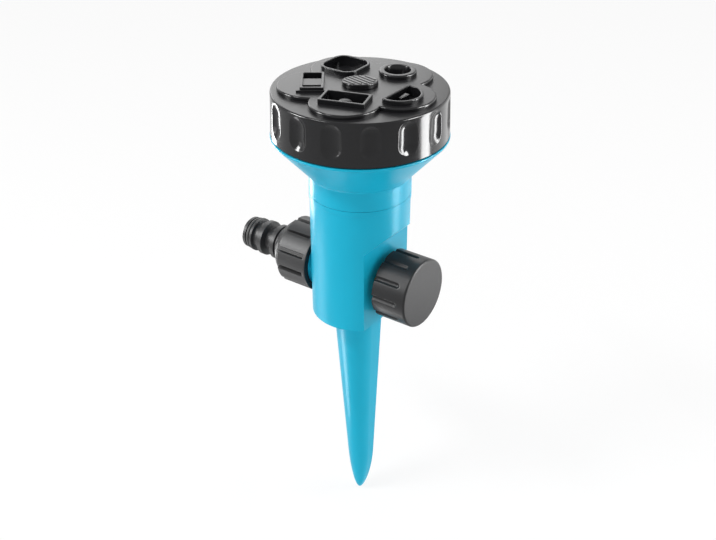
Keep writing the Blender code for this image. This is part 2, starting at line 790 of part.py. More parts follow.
def make_head_housing():
    collar_bore = collar_radius - collar_wall
    wall_inner = deck_radius - bowl_wall
    socket_outer = socket_radius + socket_wall
    socket_base = body_height + socket_foot
    bore_top = duct_height + duct_bore_radius + seat_gap
    socket_top = bore_top + socket_cap
    profile = [(0.0, bore_top), (socket_radius, bore_top), (socket_radius, socket_base),
               (socket_outer, socket_base), (socket_outer, socket_top), (pillar_radius, socket_top),
               (pillar_radius, deck_under), (wall_inner, deck_under),
               (wall_inner, bowl_inner_height(wall_inner)), (collar_bore, bowl_inner_height(collar_bore)),
               (collar_bore, collar_foot), (collar_radius, collar_foot), (collar_radius, collar_top),
               (bowl_rim_radius, rim_base), (bowl_rim_radius, bowl_rim_top), (deck_radius, bowl_rim_top),
               (deck_radius, deck_top), (pillar_radius, deck_top), (pillar_radius, pillar_top),
               (nose_radius, pillar_top), (nose_radius, nose_top), (0.0, nose_top)]
    housing = turned("head_housing", profile, 44)

    outlet = (*spray_centre(0), 0.0)
    detent = (-dimple_pitch_radius, 0.0, 0.0)
    duct_axis = (0.0, 0.0, duct_height)
    deck_middle = deck_top - deck_thickness / 2
    pocket_floor = deck_top - seal_pocket_depth
    detent_floor = deck_top - detent_pocket_depth
    duct_end = spray_pitch_radius + duct_end_wall
    socket_middle = socket_radius + socket_wall / 2
    add(housing, rod("duct", duct_bore_radius + duct_wall, socket_middle, duct_end, 18, duct_axis, True))
    add(housing, rod("outlet", seal_pocket_radius + seal_pocket_wall, duct_height, deck_middle, 22,
                     outlet))
    add(housing, rod("detent_tube", detent_pocket_radius + detent_pocket_wall,
                     detent_floor - detent_pocket_wall, deck_middle, 14, detent))
    cut(housing, rod("duct_bore", duct_bore_radius, 0.0, spray_pitch_radius, 16, duct_axis, True))
    well = [(0.0, duct_height), (passage_radius, duct_height), (passage_radius, pocket_floor),
            (seal_pocket_radius, pocket_floor), (seal_pocket_radius, deck_top + seat_gap),
            (0.0, deck_top + seat_gap)]
    cut(housing, turned("outlet_bore", well, 20, outlet))
    cut(housing, rod("detent_bore", detent_pocket_radius, detent_floor, deck_top + seat_gap, 12, detent))
    cut(housing, rod("screw_bore", screw_bore_radius, screw_seat - screw_length - seat_gap,
                     nose_top + seat_gap, 12))
    return blue_plastic(housing)


def make_outlet_seal():
    top = deck_top
    base = top - seal_height
    outer = seal_pocket_radius - seat_gap
    lip = (outer - seal_bore_radius) / 3
    profile = [(seal_bore_radius, base), (outer, base), (outer, top - lip / 2), (outer - lip / 2, top),
               (seal_bore_radius + lip / 2, top), (seal_bore_radius, top - lip / 2)]
    return rubber(turned("outlet_seal", profile, 20, (*spray_centre(0), 0.0)))


def make_seal_spring():
    radius = (passage_radius + seal_pocket_radius) / 2
    low = deck_top - seal_pocket_depth + seat_gap
    high = deck_top - seal_height - seat_gap
    return steel(coil("seal_spring", radius, seal_spring_wire, seal_spring_turns, low, high,
                      (*spray_centre(0), 0.0)))


def make_detent_pin():
    radius = detent_pocket_radius - seat_gap
    base = deck_top - pin_height
    profile = [(0.0, base), (radius, base), (radius, deck_top - pin_tip)]
    profile += [(radius * 0.75, deck_top - pin_tip * 0.35), (radius * 0.4, deck_top), (0.0, deck_top)]
    return white_plastic(turned("detent_pin", profile, 12, (-dimple_pitch_radius, 0.0, 0.0)))


def make_detent_spring():
    radius = detent_pocket_radius - seat_gap - 2 * detent_spring_wire
    low = deck_top - detent_pocket_depth + seat_gap
    high = deck_top - pin_height - seat_gap
    return steel(coil("detent_spring", radius, detent_spring_wire, detent_spring_turns, low, high,
                      (-dimple_pitch_radius, 0.0, 0.0)))


# A wedge that leaves a flat on one side of the body and runs out at 45 degrees above it.
def flat_cutter(side, distance):
    reach = body_top_radius
    outline = [(distance, -foot_edge), (distance + reach, -foot_edge),
               (distance + reach, flat_height + reach), (distance, flat_height)]
    shape = bmesh.new()
    face = shape.faces.new([shape.verts.new((side * x, -reach * 1.5, z)) for x, z in outline])
    lifted = bmesh.ops.extrude_face_region(shape, geom=[face])["geom"]
    far_points = [item for item in lifted if isinstance(item, bmesh.types.BMVert)]
    bmesh.ops.translate(shape, vec=(0, reach * 3, 0), verts=far_points)
    bmesh.ops.recalc_face_normals(shape, faces=shape.faces)
    return new_object("flat_cutter", shape, (0.0, 0.0, 0.0))


def tenon_outline(gap):
    outline = box_outline(tenon_width + 2 * gap, tenon_depth + 2 * gap, tenon_corner)
    return placed(outline, 0.0, (0.0, tenon_place))


def make_valve_body():
    ring_outer = collar_radius - collar_wall - seat_gap
    ring_inner = ring_outer - spigot_ring_wall
    ring_top = body_height + spigot_ring_height
    void_floor = flat_height + (ring_inner - flat_distance) + bowl_wall * math.sqrt(2.0)
    groove_middle = body_height + riser_ring_place
    groove_half = riser_ring_wire + ring_gap
    groove_radius = socket_radius - 2 * riser_ring_wire - 2 * ring_gap
    profile = [(0.0, 0.0), (body_foot_radius - foot_edge, 0.0), (body_foot_radius, foot_edge),
               (body_top_radius, body_height - band_height), (collar_radius, body_height - band_height),
               (collar_radius, body_height), (ring_outer, body_height), (ring_outer, ring_top),
               (ring_inner, ring_top), (ring_inner, void_floor), (riser_radius, void_floor),
               (riser_radius, groove_middle - groove_half), (groove_radius, groove_middle - groove_half),
               (groove_radius, groove_middle + groove_half), (riser_radius, groove_middle + groove_half),
               (riser_radius, riser_top), (riser_bore_radius, riser_top),
               (riser_bore_radius, valve_height), (0.0, valve_height)]
    body = turned("valve_body", profile, 42)
    cut(body, flat_cutter(1, flat_distance), flat_cutter(-1, stub_flat_distance))
    add(body, rod("stub", stub_radius, -stub_end, -stub_flat_distance + foot_edge, 30, valve_axis, True))
    rim_outer = inlet_bore_radius + seat_rim
    outside = flat_distance + gland_bore_depth
    stub_floor = stub_end - stub_bore_depth
    waterway = [(0.0, -stub_end - seat_rise), (stub_bore_radius, -stub_end - seat_rise),
                (stub_bore_radius, -stub_floor), (inlet_bore_radius, -stub_floor),
                (inlet_bore_radius, -seat_rim_face), (rim_outer, -seat_rim_face),
                (rim_outer, -seat_face), (chamber_bore_radius, -seat_face),
                (chamber_bore_radius, flat_distance - gland_bore_depth),
                (gland_bore_radius, flat_distance - gland_bore_depth), (gland_bore_radius, outside),
                (0.0, outside)]
    cut(body, turned("waterway", waterway, 22, valve_axis, True))
    cut(body, prism("tenon_socket", tenon_outline(seat_gap), -foot_edge, tenon_height + seat_gap))
    return blue_plastic(body)


def make_gland_nut():
    plug = gland_bore_radius - seat_gap
    flange_face = flat_distance + seat_gap
    thread_end = gland_face + gland_thread_depth
    end = flange_face + gland_flange
    groove_radius = gland_bore_radius - 2 * gland_ring_wire - 2 * ring_gap
    groove_half = gland_ring_wire + ring_gap
    groove_middle = flat_distance - gland_bore_depth / 2
    profile = [(gland_thread_radius, gland_face), (plug, gland_face), (plug, groove_middle - groove_half),
               (groove_radius, groove_middle - groove_half), (groove_radius, groove_middle + groove_half),
               (plug, groove_middle + groove_half), (plug, end), (gland_guide_radius, end),
               (gland_guide_radius, thread_end), (gland_thread_radius, thread_end)]
    nut = turned("gland_nut", profile, 20, valve_axis, True)
    flange = prism("flange", ring_outline(gland_flange_radius, gland_flange_sides), flange_face,
                   end + seat_gap, valve_axis, along_x=True)
    cut(flange, rod("flange_bore", (plug + gland_guide_radius) / 2, flange_face - seat_gap,
                    end + 2 * seat_gap, 20, valve_axis, True))
    add(nut, flange)
    return brass(nut)


def drive_outline(gap):
    radius = spindle_radius + gap
    flat = spindle_flat + gap
    reach = math.acos(flat / radius)
    return arc((0.0, 0.0), radius, math.pi + reach, 3 * math.pi - reach, 12)


def make_valve_spindle():
    neck_angle = math.asin(spindle_neck_radius / spindle_ball_radius)
    thread_radius = gland_thread_radius - seat_gap
    thread_end = spindle_thread_start + spindle_thread_length
    groove_middle = knob_back - spindle_ring_back
    groove_half = spindle_ring_wire + ring_gap
    groove_radius = gland_guide_radius - 2 * spindle_ring_wire - 2 * ring_gap
    drive_start = knob_back + knob_hub_drop - seat_gap
    profile = arc((0.0, ball_centre), spindle_ball_radius, -math.pi / 2, math.pi / 2 - neck_angle, 4)
    profile[0] = (0.0, ball_centre - spindle_ball_radius)
    profile += [(spindle_neck_radius, spindle_thread_start), (thread_radius, spindle_thread_start),
                (thread_radius, thread_end), (spindle_radius, thread_end),
                (spindle_radius, groove_middle - groove_half),
                (groove_radius, groove_middle - groove_half),
                (groove_radius, groove_middle + groove_half),
                (spindle_radius, groove_middle + groove_half), (spindle_radius, drive_start),
                (0.0, drive_start)]
    spindle = turned("valve_spindle", profile, 16, valve_axis, True)
    add(spindle, prism("drive", drive_outline(-ring_gap / 2), drive_start - groove_half, spindle_end,
                       valve_axis, along_x=True))
    return brass(spindle)


def make_flow_knob():
    inner = knob_radius - knob_wall
    hub_back = knob_back + knob_hub_drop
    inside_face = knob_front - knob_face
    profile = [(0.0, hub_back), (knob_hub_radius, hub_back), (knob_hub_radius, inside_face),
               (inner, inside_face), (inner, knob_back), (knob_radius, knob_back)]
    profile += arc((knob_radius - knob_edge, knob_front - knob_edge), knob_edge, 0.0, math.pi / 2, 2)
    profile.append((0.0, knob_front))
    knob = turned("flow_knob", profile, 44, valve_axis, True)
    half = knob_groove_width / 2
    reach = knob_groove_depth - half ** 2 / (2 * knob_radius)
    radius = (half ** 2 + reach ** 2) / (2 * reach)
    groove_end = knob_front - knob_band - half
    groove = [(0.0, knob_back - radius), (radius, knob_back - radius)]
    groove += arc((0.0, groove_end), radius, 0.0, math.pi / 2, 3)[:-1]
    groove.append((0.0, groove_end + radius))
    for index in range(knob_groove_count):
        angle = math.pi + math.tau * index / knob_groove_count
        y, z = polar(knob_radius - knob_groove_depth + radius, angle)
        cut(knob, turned("groove", groove, 8, (0.0, y, valve_height + z), True))
    cut(knob, prism("socket", drive_outline(seat_gap), hub_back - seat_gap, spindle_end + seat_gap,
                    valve_axis, along_x=True))
    return black_plastic(knob)


def make_valve_jumper():
    cavity = spindle_ball_radius + seat_gap
    lip_bore = spindle_neck_radius + seat_gap
    socket_outer = cavity + jumper_socket_wall
    disc_end = jumper_face + jumper_disc
    nub_end = washer_face - jumper_nub_rise
    profile = [(0.0, nub_end), (jumper_nub_radius, nub_end), (jumper_nub_radius, jumper_face),
               (jumper_radius, jumper_face), (jumper_radius, disc_end), (socket_outer, disc_end),
               (socket_outer, jumper_end), (lip_bore, jumper_end), (lip_bore, jumper_socket_end),
               (cavity, jumper_socket_end), (cavity, jumper_socket_base), (0.0, jumper_socket_base)]
    return brass(turned("valve_jumper", profile, 16, valve_axis, True))


def make_valve_washer():
    end = washer_face + valve_washer_thickness
    bore = jumper_nub_radius + seat_gap
    return rubber(turned("valve_washer", [(bore, washer_face), (valve_washer_radius, washer_face),
                                          (valve_washer_radius, end), (bore, end)], 16, valve_axis, True))


# Outline of the spigot from its root to its tip, as (radius, x).
def spigot_profile():
    groove = 2 * (spigot_ring_wire + ring_gap)
    groove_radius = spigot_ring_radius - 2 * spigot_ring_wire - 2 * ring_gap
    half_ridge = spigot_ridge / 2
    steps = [(spigot_ridge_radius, spigot_collar), (spigot_neck_radius, 0.0),
             (spigot_neck_radius, spigot_slit), (spigot_ridge_radius, 0.0),
             (spigot_ridge_radius, spigot_flange), (spigot_neck_radius, spigot_slit),
             (spigot_neck_radius, spigot_catch - 2 * spigot_slit), (spigot_ridge_radius, spigot_slit),
             (spigot_ridge_radius, half_ridge), (spigot_neck_radius, half_ridge),
             (spigot_neck_radius, spigot_neck), (spigot_radius, 0.0), (spigot_radius, spigot_lips),
             (groove_radius, 0.0), (groove_radius, groove), (spigot_radius, 0.0),
             (spigot_radius, spigot_lips), (spigot_radius - spigot_chamfer, spigot_chamfer)]
    start = spigot_end - sum(advance for radius, advance in steps)
    profile = [(spigot_ridge_radius, -start)]
    x = start
    for radius, advance in steps:
        x += advance
        profile.append((radius, -x))
    return profile


def spigot_ring_middle():
    return spigot_end - spigot_chamfer - spigot_lips - spigot_ring_wire - ring_gap


def make_hose_connector():
    nut_front = nut_back + nut_length
    cone_radius = nut_radius - nut_groove_depth
    profile = [(nut_bore_radius, -nut_floor), (nut_bore_radius, -nut_back), (nut_radius, -nut_back),
               (nut_radius, -nut_front + nut_rib_edge), (nut_radius - nut_rib_edge, -nut_front),
               (cone_radius, -nut_front)]
    for step in range(1, 6):
        share = step / 5
        radius = nut_front_radius + (cone_radius - nut_front_radius) * math.cos(share * math.pi / 2)
        profile.append((radius, -nut_front - nut_taper * share))
    profile += spigot_profile()
    profile += [(spigot_bore_radius, -spigot_end), (spigot_bore_radius, -nut_floor)]
    connector = turned("hose_connector", profile, 33, valve_axis, True)
    front = -nut_front - nut_taper
    back = -nut_back + nut_groove_depth
    half = nut_groove_width / 2
    for index in range(nut_groove_count):
        outline = [(front, -half), (back, -half), (back, half), (front, half)]
        groove = prism("groove", outline, nut_radius - nut_groove_depth, nut_radius + nut_groove_depth,
                       valve_axis)
        groove.rotation_euler.x = nut_groove_turn + math.tau * index / nut_groove_count
        cut(connector, groove)
    return black_plastic(connector)


def make_inlet_washer():
    start = -stub_end - seat_gap - inlet_washer_thickness
    end = -stub_end - seat_gap
    bore = inlet_washer_bore_radius
    return rubber(turned("inlet_washer", [(bore, start), (stub_radius - seat_gap, start),
                                          (stub_radius - seat_gap, end), (bore, end)], 22, valve_axis,
                         True))


# Half width, front arc centre and back edge of the spike at a depth below the body.
def spike_section(depth):
    along_point = max(0.0, depth - spike_length + spike_point) / spike_point
    roundness = math.sqrt(1.0 - (along_point * spike_bluntness) ** 2)
    half = (spike_half_width - spike_taper * depth) * roundness
    middle = (spike_lean * depth - spike_shift) * roundness ** 2
    return half, middle - spike_arc_share * half, middle + spike_leg_share * half


def spike_ring(depth, wall, back_reach):
    half, centre, back = spike_section(depth)
    inner = half - wall
    points = arc((0.0, centre), inner, math.pi, math.tau, 10)
    points += [(inner, back + back_reach), (-inner, back + back_reach)]
    return [(x, y, -depth) for x, y in points]


def make_ground_spike():
    shaft = spike_length - spike_point
    depths = [seat_gap, shaft / 3, shaft * 2 / 3]
    depths += [shaft + spike_point * math.sin(math.radians(angle)) for angle in (0, 18, 34, 48, 60, 72, 90)]
    spike = lofted("ground_spike", [spike_ring(depth, 0.0, 0.0) for depth in depths])
    channel_end = spike_length - spike_solid_end
    channel = [seat_gap + spike_top_plate, shaft / 3, shaft * 2 / 3, shaft, channel_end]
    cut(spike, lofted("channel", [spike_ring(depth, spike_wall, spike_wall) for depth in channel]))
    add(spike, prism("tenon", tenon_outline(0.0), -spike_top_plate / 2, tenon_height))
    return blue_plastic(spike)


def make_sprinkler():
    clear_scene()
    dial = make_turret_dial()
    cover = make_screw_cover()
    disc = make_port_disc()
    make_dial_washer()
    make_dial_screw()
    make_head_housing()
    make_outlet_seal()
    make_seal_spring()
    make_detent_pin()
    make_detent_spring()
    make_valve_body()
    o_ring("riser_o_ring", socket_radius - ring_gap, riser_ring_wire, body_height + riser_ring_place)
    make_gland_nut()
    o_ring("gland_o_ring", gland_bore_radius - ring_gap, gland_ring_wire,
           flat_distance - gland_bore_depth / 2, valve_axis, True)
    spindle = make_valve_spindle()
    spindle_ring = o_ring("spindle_o_ring", gland_guide_radius - ring_gap, spindle_ring_wire,
                          knob_back - spindle_ring_back, valve_axis, True)
    knob = make_flow_knob()
    jumper = make_valve_jumper()
    valve_washer = make_valve_washer()
    make_hose_connector()
    o_ring("spigot_o_ring", spigot_ring_radius, spigot_ring_wire, -spigot_ring_middle(), valve_axis, True)
    make_inlet_washer()
    make_ground_spike()
    ride("dial_axis", (0.0, 0.0, dial_foot), dial, cover, disc)
    ride("flow_axis", valve_axis, spindle, spindle_ring, knob, jumper, valve_washer)


make_sprinkler()
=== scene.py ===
import math
import bmesh
import bpy
from mathutils import Matrix, Vector


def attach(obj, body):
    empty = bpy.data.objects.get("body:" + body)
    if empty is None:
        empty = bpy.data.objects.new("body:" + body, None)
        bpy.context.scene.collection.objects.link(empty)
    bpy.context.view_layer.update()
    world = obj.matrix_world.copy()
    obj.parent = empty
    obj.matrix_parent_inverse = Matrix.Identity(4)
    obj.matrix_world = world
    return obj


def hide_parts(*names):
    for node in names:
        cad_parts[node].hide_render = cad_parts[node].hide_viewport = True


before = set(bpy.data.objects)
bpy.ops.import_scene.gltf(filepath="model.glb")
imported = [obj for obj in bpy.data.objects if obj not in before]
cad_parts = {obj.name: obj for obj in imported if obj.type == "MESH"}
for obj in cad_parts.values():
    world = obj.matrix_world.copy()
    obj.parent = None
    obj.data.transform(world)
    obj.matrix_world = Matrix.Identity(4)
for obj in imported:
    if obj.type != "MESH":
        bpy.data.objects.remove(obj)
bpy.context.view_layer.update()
print("frame loaded:", len(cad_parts), "nodes")

# the valve's parts are turned about local Z, and this lays them along X at the valve's height
valveHeight = 0.0196
valveLine = Matrix.Translation((0, 0, valveHeight)) @ Matrix.Rotation(math.pi / 2, 4, "Y")

touching, closeBy = 1e-6, 1e-5


# small modelling helpers

def taken(settings, names):
    return [settings[name] for name in names.split()]


def axisDistance(point):
    return math.hypot(point.co.x, point.co.y)


def drawnIn(point, share):
    point.co.x *= share
    point.co.y *= share


def turnedShape(profile, steps):
    # profile is (radius, height); one that keeps off the axis is closed and makes a ring
    shape = bmesh.new()
    chain = [shape.verts.new((radius, 0, height)) for radius, height in profile]
    edges = [shape.edges.new(pair) for pair in zip(chain, chain[1:])]
    if profile[0][0] > 0:
        edges.append(shape.edges.new((chain[-1], chain[0])))
    bmesh.ops.spin(shape, geom=chain + edges, cent=(0, 0, 0), axis=(0, 0, 1), angle=math.tau,
                   steps=steps, use_merge=True, use_duplicate=False)
    bmesh.ops.remove_doubles(shape, verts=shape.verts, dist=touching)
    bmesh.ops.recalc_face_normals(shape, faces=shape.faces)
    return shape


def bevelled(shape, edges, width, segments, clamped):
    bmesh.ops.bevel(shape, geom=edges, offset=width, affect="EDGES", segments=segments, profile=0.5,
                    material=-1, clamp_overlap=clamped)


def softenEdges(shape, width, segments=3, chosen=lambda edge: True, smallest=28):
    # bevels the chosen edges that turn by more than the smallest angle, in degrees
    sharp = [edge for edge in shape.edges if len(edge.link_faces) == 2
             and edge.calc_face_angle() > math.radians(smallest) and chosen(edge)]
    bevelled(shape, sharp, width, segments, True)


uprightEdge = dict(leastRise=0.001, smallest=40)


def roundUprights(shape, rounding, steps):
    upright = [edge for edge in shape.edges
               if abs(edge.verts[0].co.z - edge.verts[1].co.z) > uprightEdge["leastRise"]
               and len(edge.link_faces) == 2
               and edge.calc_face_angle() > math.radians(uprightEdge["smallest"])]
    bevelled(shape, upright, rounding, steps, False)


def topEdges(level):
    return lambda edge: all(abs(point.co.z - level) < touching for point in edge.verts)


def pulledOut(shape, faces):
    # extrudes the faces and gives the new points, which still lie on the old ones
    made = bmesh.ops.extrude_face_region(shape, geom=list(faces))["geom"]
    return [item for item in made if isinstance(item, bmesh.types.BMVert)]


def raisedBlock(corners, low, high, rounding=0, roundSteps=6):
    # a flat outline pushed up; its upright edges are rounded
    shape = bmesh.new()
    base = shape.faces.new([shape.verts.new((x, y, low)) for x, y in corners])
    bmesh.ops.translate(shape, vec=(0, 0, high - low), verts=pulledOut(shape, [base]))
    bmesh.ops.recalc_face_normals(shape, faces=shape.faces)
    if rounding > 0:
        roundUprights(shape, rounding, roundSteps)
    return shape


def boxCorners(length, width):
    halfLength, halfWidth = length / 2, width / 2
    return [(-halfLength, -halfWidth), (halfLength, -halfWidth), (halfLength, halfWidth),
            (-halfLength, halfWidth)]


def asObject(name, shape, place=None):
    if place is not None:
        bmesh.ops.transform(shape, matrix=place, verts=shape.verts)
    mesh = bpy.data.meshes.new(name)
    shape.to_mesh(mesh)
    shape.free()
    piece = bpy.data.objects.new(name, mesh)
    bpy.context.scene.collection.objects.link(piece)
    return piece


def applyModifiers(piece):
    bpy.context.view_layer.update()
    graph = bpy.context.evaluated_depsgraph_get()
    made = bpy.data.meshes.new_from_object(piece.evaluated_get(graph))
    piece.modifiers.clear()
    piece.data = made


def carve(piece, cutter, operation="DIFFERENCE"):
    step = piece.modifiers.new("carve", "BOOLEAN")
    step.operation = operation
    step.solver = "EXACT"
    step.object = cutter
    applyModifiers(piece)
    bpy.data.objects.remove(cutter, do_unlink=True)


def gathered(name, parts):
    # one mesh from several, which are used up
    shape = bmesh.new()
    for part in parts:
        shape.from_mesh(part.data)
        bpy.data.objects.remove(part, do_unlink=True)
    return asObject(name, shape)


def scoopOut(shape, count, width, depth, radius, low, high, lip, phase=0.0):
    # presses round-ended hollows into the outside of a turned part, with a soft lip
    half = width / 2
    reach = depth - half ** 2 / (2 * radius)
    bend = (half ** 2 + reach ** 2) / (2 * reach)
    pitch = math.tau / count
    for point in shape.verts:
        distance = axisDistance(point)
        if distance < radius - depth:
            continue
        turn = (math.atan2(point.co.y, point.co.x) - phase + pitch / 2) % pitch - pitch / 2
        away = math.hypot(distance * turn, max(0.0, low - point.co.z, point.co.z - high))
        if away >= bend:
            continue
        pressed = radius - depth + bend - math.sqrt(bend ** 2 - away ** 2)
        blend = max(lip - abs(distance - pressed), 0.0) / lip
        drawnIn(point, (min(distance, pressed) - blend ** 2 * lip / 4) / distance)


shading = dict(sharpAngle=38, weight=80)


def settled(piece, finish, slotName, body, *stoodFor):
    piece.data.materials.clear()
    piece.data.materials.append(finish)
    piece.data.shade_smooth()
    piece.data.set_sharp_from_angle(angle=math.radians(shading["sharpAngle"]))
    weights = piece.modifiers.new("weights", "WEIGHTED_NORMAL")
    weights.keep_sharp = True
    weights.weight = shading["weight"]
    applyModifiers(piece)
    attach(piece, body)
    if stoodFor:
        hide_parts(*stoodFor)
    print("made", piece.name, len(piece.data.polygons), "faces")
    return piece


# finishes

def nodeAdder(tree):
    def addNode(kind, links=(), **values):
        # a value is a setting of the node or an input, whose name has a space for each underscore
        node = tree.nodes.new(kind)
        for key, value in values.items():
            if hasattr(node, key):
                setattr(node, key, value)
            else:
                node.inputs[key.replace("_", " ")].default_value = value
        for socket, source in links:
            tree.links.new(source, node.inputs[socket])
        return node

    return addNode


def newFinish(name):
    material = bpy.data.materials.new(name)
    material.use_nodes = True
    tree = material.node_tree
    return material, tree, tree.nodes["Principled BSDF"], nodeAdder(tree)


def noise(addNode, vector, scale, detail):
    return addNode("ShaderNodeTexNoise", [("Vector", vector)], Scale=scale, Detail=detail).outputs[0]


def tinted(addNode, share, base, deep):
    mix = addNode("ShaderNodeMix", [("Factor", share)], data_type="RGBA")
    mix.inputs[6].default_value = (*base, 1)
    mix.inputs[7].default_value = (*deep, 1)
    return mix.outputs[2]


def ranged(addNode, value, low, high):
    return addNode("ShaderNodeMapRange", [("Value", value)], To_Min=low, To_Max=high).outputs[0]


def relief(addNode, height, strength, distance):
    node = addNode("ShaderNodeBump", [("Height", height)], Strength=strength, Distance=distance)
    return node.outputs[0]


def wired(tree, shader, colour, roughness, normal):
    for socket, source in (("Base Color", colour), ("Roughness", roughness), ("Normal", normal)):
        tree.links.new(source, shader.inputs[socket])


mould = dict(cloudScale=45, cloudDetail=3.0, glossScale=700.0, glossDetail=4.0, grainScale=5200.0,
             grainDetail=2.0, grainDepth=0.00006, levelFrom=0.86, levelTo=0.99)


def mouldedPlastic(name, base, deep, roughness, spread, grain, centre, specular=0.5, satinTop=None):
    # cloudy colour, uneven gloss and the fine grain of a mould; satinTop dulls the faces that look up
    material, tree, shader, addNode = newFinish(name)
    coords = addNode("ShaderNodeTexCoord")
    place = addNode("ShaderNodeMapping", [("Vector", coords.outputs["Object"])],
                    Location=[-value for value in centre]).outputs[0]
    cloud = noise(addNode, place, mould["cloudScale"], mould["cloudDetail"])
    tint = tinted(addNode, cloud, base, deep)
    gloss = noise(addNode, place, mould["glossScale"], mould["glossDetail"])
    dull = ranged(addNode, gloss, roughness - spread, roughness + spread)
    if satinTop is not None:
        facing = addNode("ShaderNodeSeparateXYZ", [("Vector", coords.outputs["Normal"])])
        upward = addNode("ShaderNodeMapRange", [("Value", facing.outputs["Z"])],
                         interpolation_type="SMOOTHSTEP", From_Min=mould["levelFrom"],
                         From_Max=mould["levelTo"])
        mixed = addNode("ShaderNodeMix", [("Factor", upward.outputs[0]), ("A", dull)], B=satinTop)
        dull = mixed.outputs[0]
    grains = noise(addNode, place, mould["grainScale"], mould["grainDetail"])
    wired(tree, shader, tint, dull, relief(addNode, grains, grain, mould["grainDepth"]))
    shader.inputs["Specular IOR Level"].default_value = specular
    return material


turning = dict(stretch=0.05, lineScale=6000.0, lineDetail=3.0, stainScale=260.0, stainDetail=4.0,
               smoother=0.08, rougher=0.12, strength=0.25, depth=0.00004)


def machinedMetal(name, base, deep, roughness, alongX):
    # fine turning lines around the part's axis, with a little tarnish
    material, tree, shader, addNode = newFinish(name)
    coords = addNode("ShaderNodeTexCoord").outputs["Object"]
    stretch = turning["stretch"]
    place = addNode("ShaderNodeMapping", [("Vector", coords)],
                    Scale=(1, stretch, stretch) if alongX else (stretch, stretch, 1)).outputs[0]
    lines = noise(addNode, place, turning["lineScale"], turning["lineDetail"])
    stain = noise(addNode, coords, turning["stainScale"], turning["stainDetail"])
    wired(tree, shader, tinted(addNode, stain, base, deep),
          ranged(addNode, lines, roughness - turning["smoother"], roughness + turning["rougher"]),
          relief(addNode, lines, turning["strength"], turning["depth"]))
    shader.inputs["Metallic"].default_value = 1.0
    return material


# turret dial

dial = dict(topRadius=0.0397, footRadius=0.0402, foot=0.0921, top=0.1125, wall=0.0031, under=0.1101,
            edge=0.0009, edgeSteps=6, footEdge=0.0004, guide=0.030, tuck=0.0006, columns=900, rows=56,
            pockets=15, pocketWidth=0.0092, pocketDepth=0.0019, pocketLow=0.1006, pocketHigh=0.1070,
            lip=0.0003, sprays=5, pitch=0.0209, lobe=0.0159, lobeTop=0.1144, lobeEdge=0.0008,
            lobeColumns=300, wellRadius=0.0070)


def lobeReach(angle):
    # how far the five-lobed outline reaches from the axis
    fifth = math.tau / dial["sprays"]
    near = (angle + fifth / 2) % fifth - fifth / 2
    across = dial["pitch"] * math.sin(near)
    return dial["pitch"] * math.cos(near) + math.sqrt(dial["lobe"] ** 2 - across ** 2)


def dialWall():
    top, foot, edge, footEdge, under = taken(dial, "top foot edge footEdge under")
    topRadius, footRadius, wall, guide = taken(dial, "topRadius footRadius wall guide")
    slope = (topRadius - footRadius) / (top - foot)
    turnDown = top - edge
    profile = [(guide, under), (guide, top)]
    for step in range(dial["edgeSteps"] + 1):
        angle = math.pi / 2 * (1 - step / dial["edgeSteps"])
        profile.append((topRadius - edge + edge * math.cos(angle), turnDown + edge * math.sin(angle)))
    for row in range(1, dial["rows"] + 1):
        height = turnDown + (foot + footEdge - turnDown) * row / dial["rows"]
        profile.append((topRadius + slope * (height - top), height))
    profile += [(footRadius - footEdge, foot), (footRadius - wall, foot), (topRadius - wall, under)]
    shape = turnedShape(profile, dial["columns"])
    # the inner edge is turned at the guide radius and then follows the lobes from below
    for point in shape.verts:
        if axisDistance(point) < guide + closeBy:
            angle = math.atan2(point.co.y, point.co.x)
            reach = lobeReach(angle) - dial["tuck"]
            point.co.x, point.co.y = reach * math.cos(angle), reach * math.sin(angle)
    scoopOut(shape, dial["pockets"], dial["pocketWidth"], dial["pocketDepth"], footRadius,
             dial["pocketLow"], dial["pocketHigh"], dial["lip"])
    return asObject("dialWall", shape)


# what all the nozzles share; sunk is the foot of what stands inside them
nozzle = dict(rimTop=0.1165, wall=0.00125, floor=0.1117, sunk=0.1113, rimEdge=0.00035, ledge=0.0006,
              crispCorner=0.0005, leastCorner=0.0003, cutLow=0.109, cutHigh=0.118, throatHigh=0.113,
              slotCorner=0.0004)


def nozzlePlace(index, shift=(0.0, 0.0), turn=None):
    angle = math.tau * index / dial["sprays"]
    x, y = dial["pitch"] * math.cos(angle) + shift[0], dial["pitch"] * math.sin(angle) + shift[1]
    return Matrix.Translation((x, y, 0)) @ Matrix.Rotation(angle if turn is None else turn, 4, "Z")


def nozzleCup(corners, rounding, roundSteps, smaller):
    # an outer wall pushed up, its top inset by the wall and pushed down again
    early = rounding if rounding > nozzle["wall"] else 0
    shape = raisedBlock(corners, dial["under"], nozzle["rimTop"], early, roundSteps)
    lid = max(shape.faces, key=lambda face: face.calc_center_median().z)
    bmesh.ops.inset_region(shape, faces=[lid], thickness=nozzle["wall"], depth=0, use_even_offset=True)
    sunk = bmesh.ops.extrude_discrete_faces(shape, faces=[lid])["faces"][0]
    bmesh.ops.translate(shape, vec=(0, 0, nozzle["floor"] - nozzle["rimTop"]), verts=sunk.verts)
    bmesh.ops.recalc_face_normals(shape, faces=shape.faces)
    if not early:
        roundUprights(shape, rounding, roundSteps)
    softenEdges(shape, nozzle["rimEdge"], 3, topEdges(nozzle["rimTop"]))
    corner = max(rounding - nozzle["ledge"], nozzle["leastCorner"])
    opening = raisedBlock(smaller, nozzle["cutLow"], nozzle["cutHigh"], corner, roundSteps)
    return shape, opening


def finishedCup(name, shape, place, throats):
    # the way down to the chamber is cut before the cup goes to its place
    cup = asObject(name, shape)
    for throat in throats:
        carve(cup, asObject("throat", throat))
    cup.data.transform(place)
    return cup


def cutterRod(radius, high, steps):
    low = nozzle["cutLow"]
    return turnedShape([(0, low), (radius, low), (radius, high), (0, high)], steps)


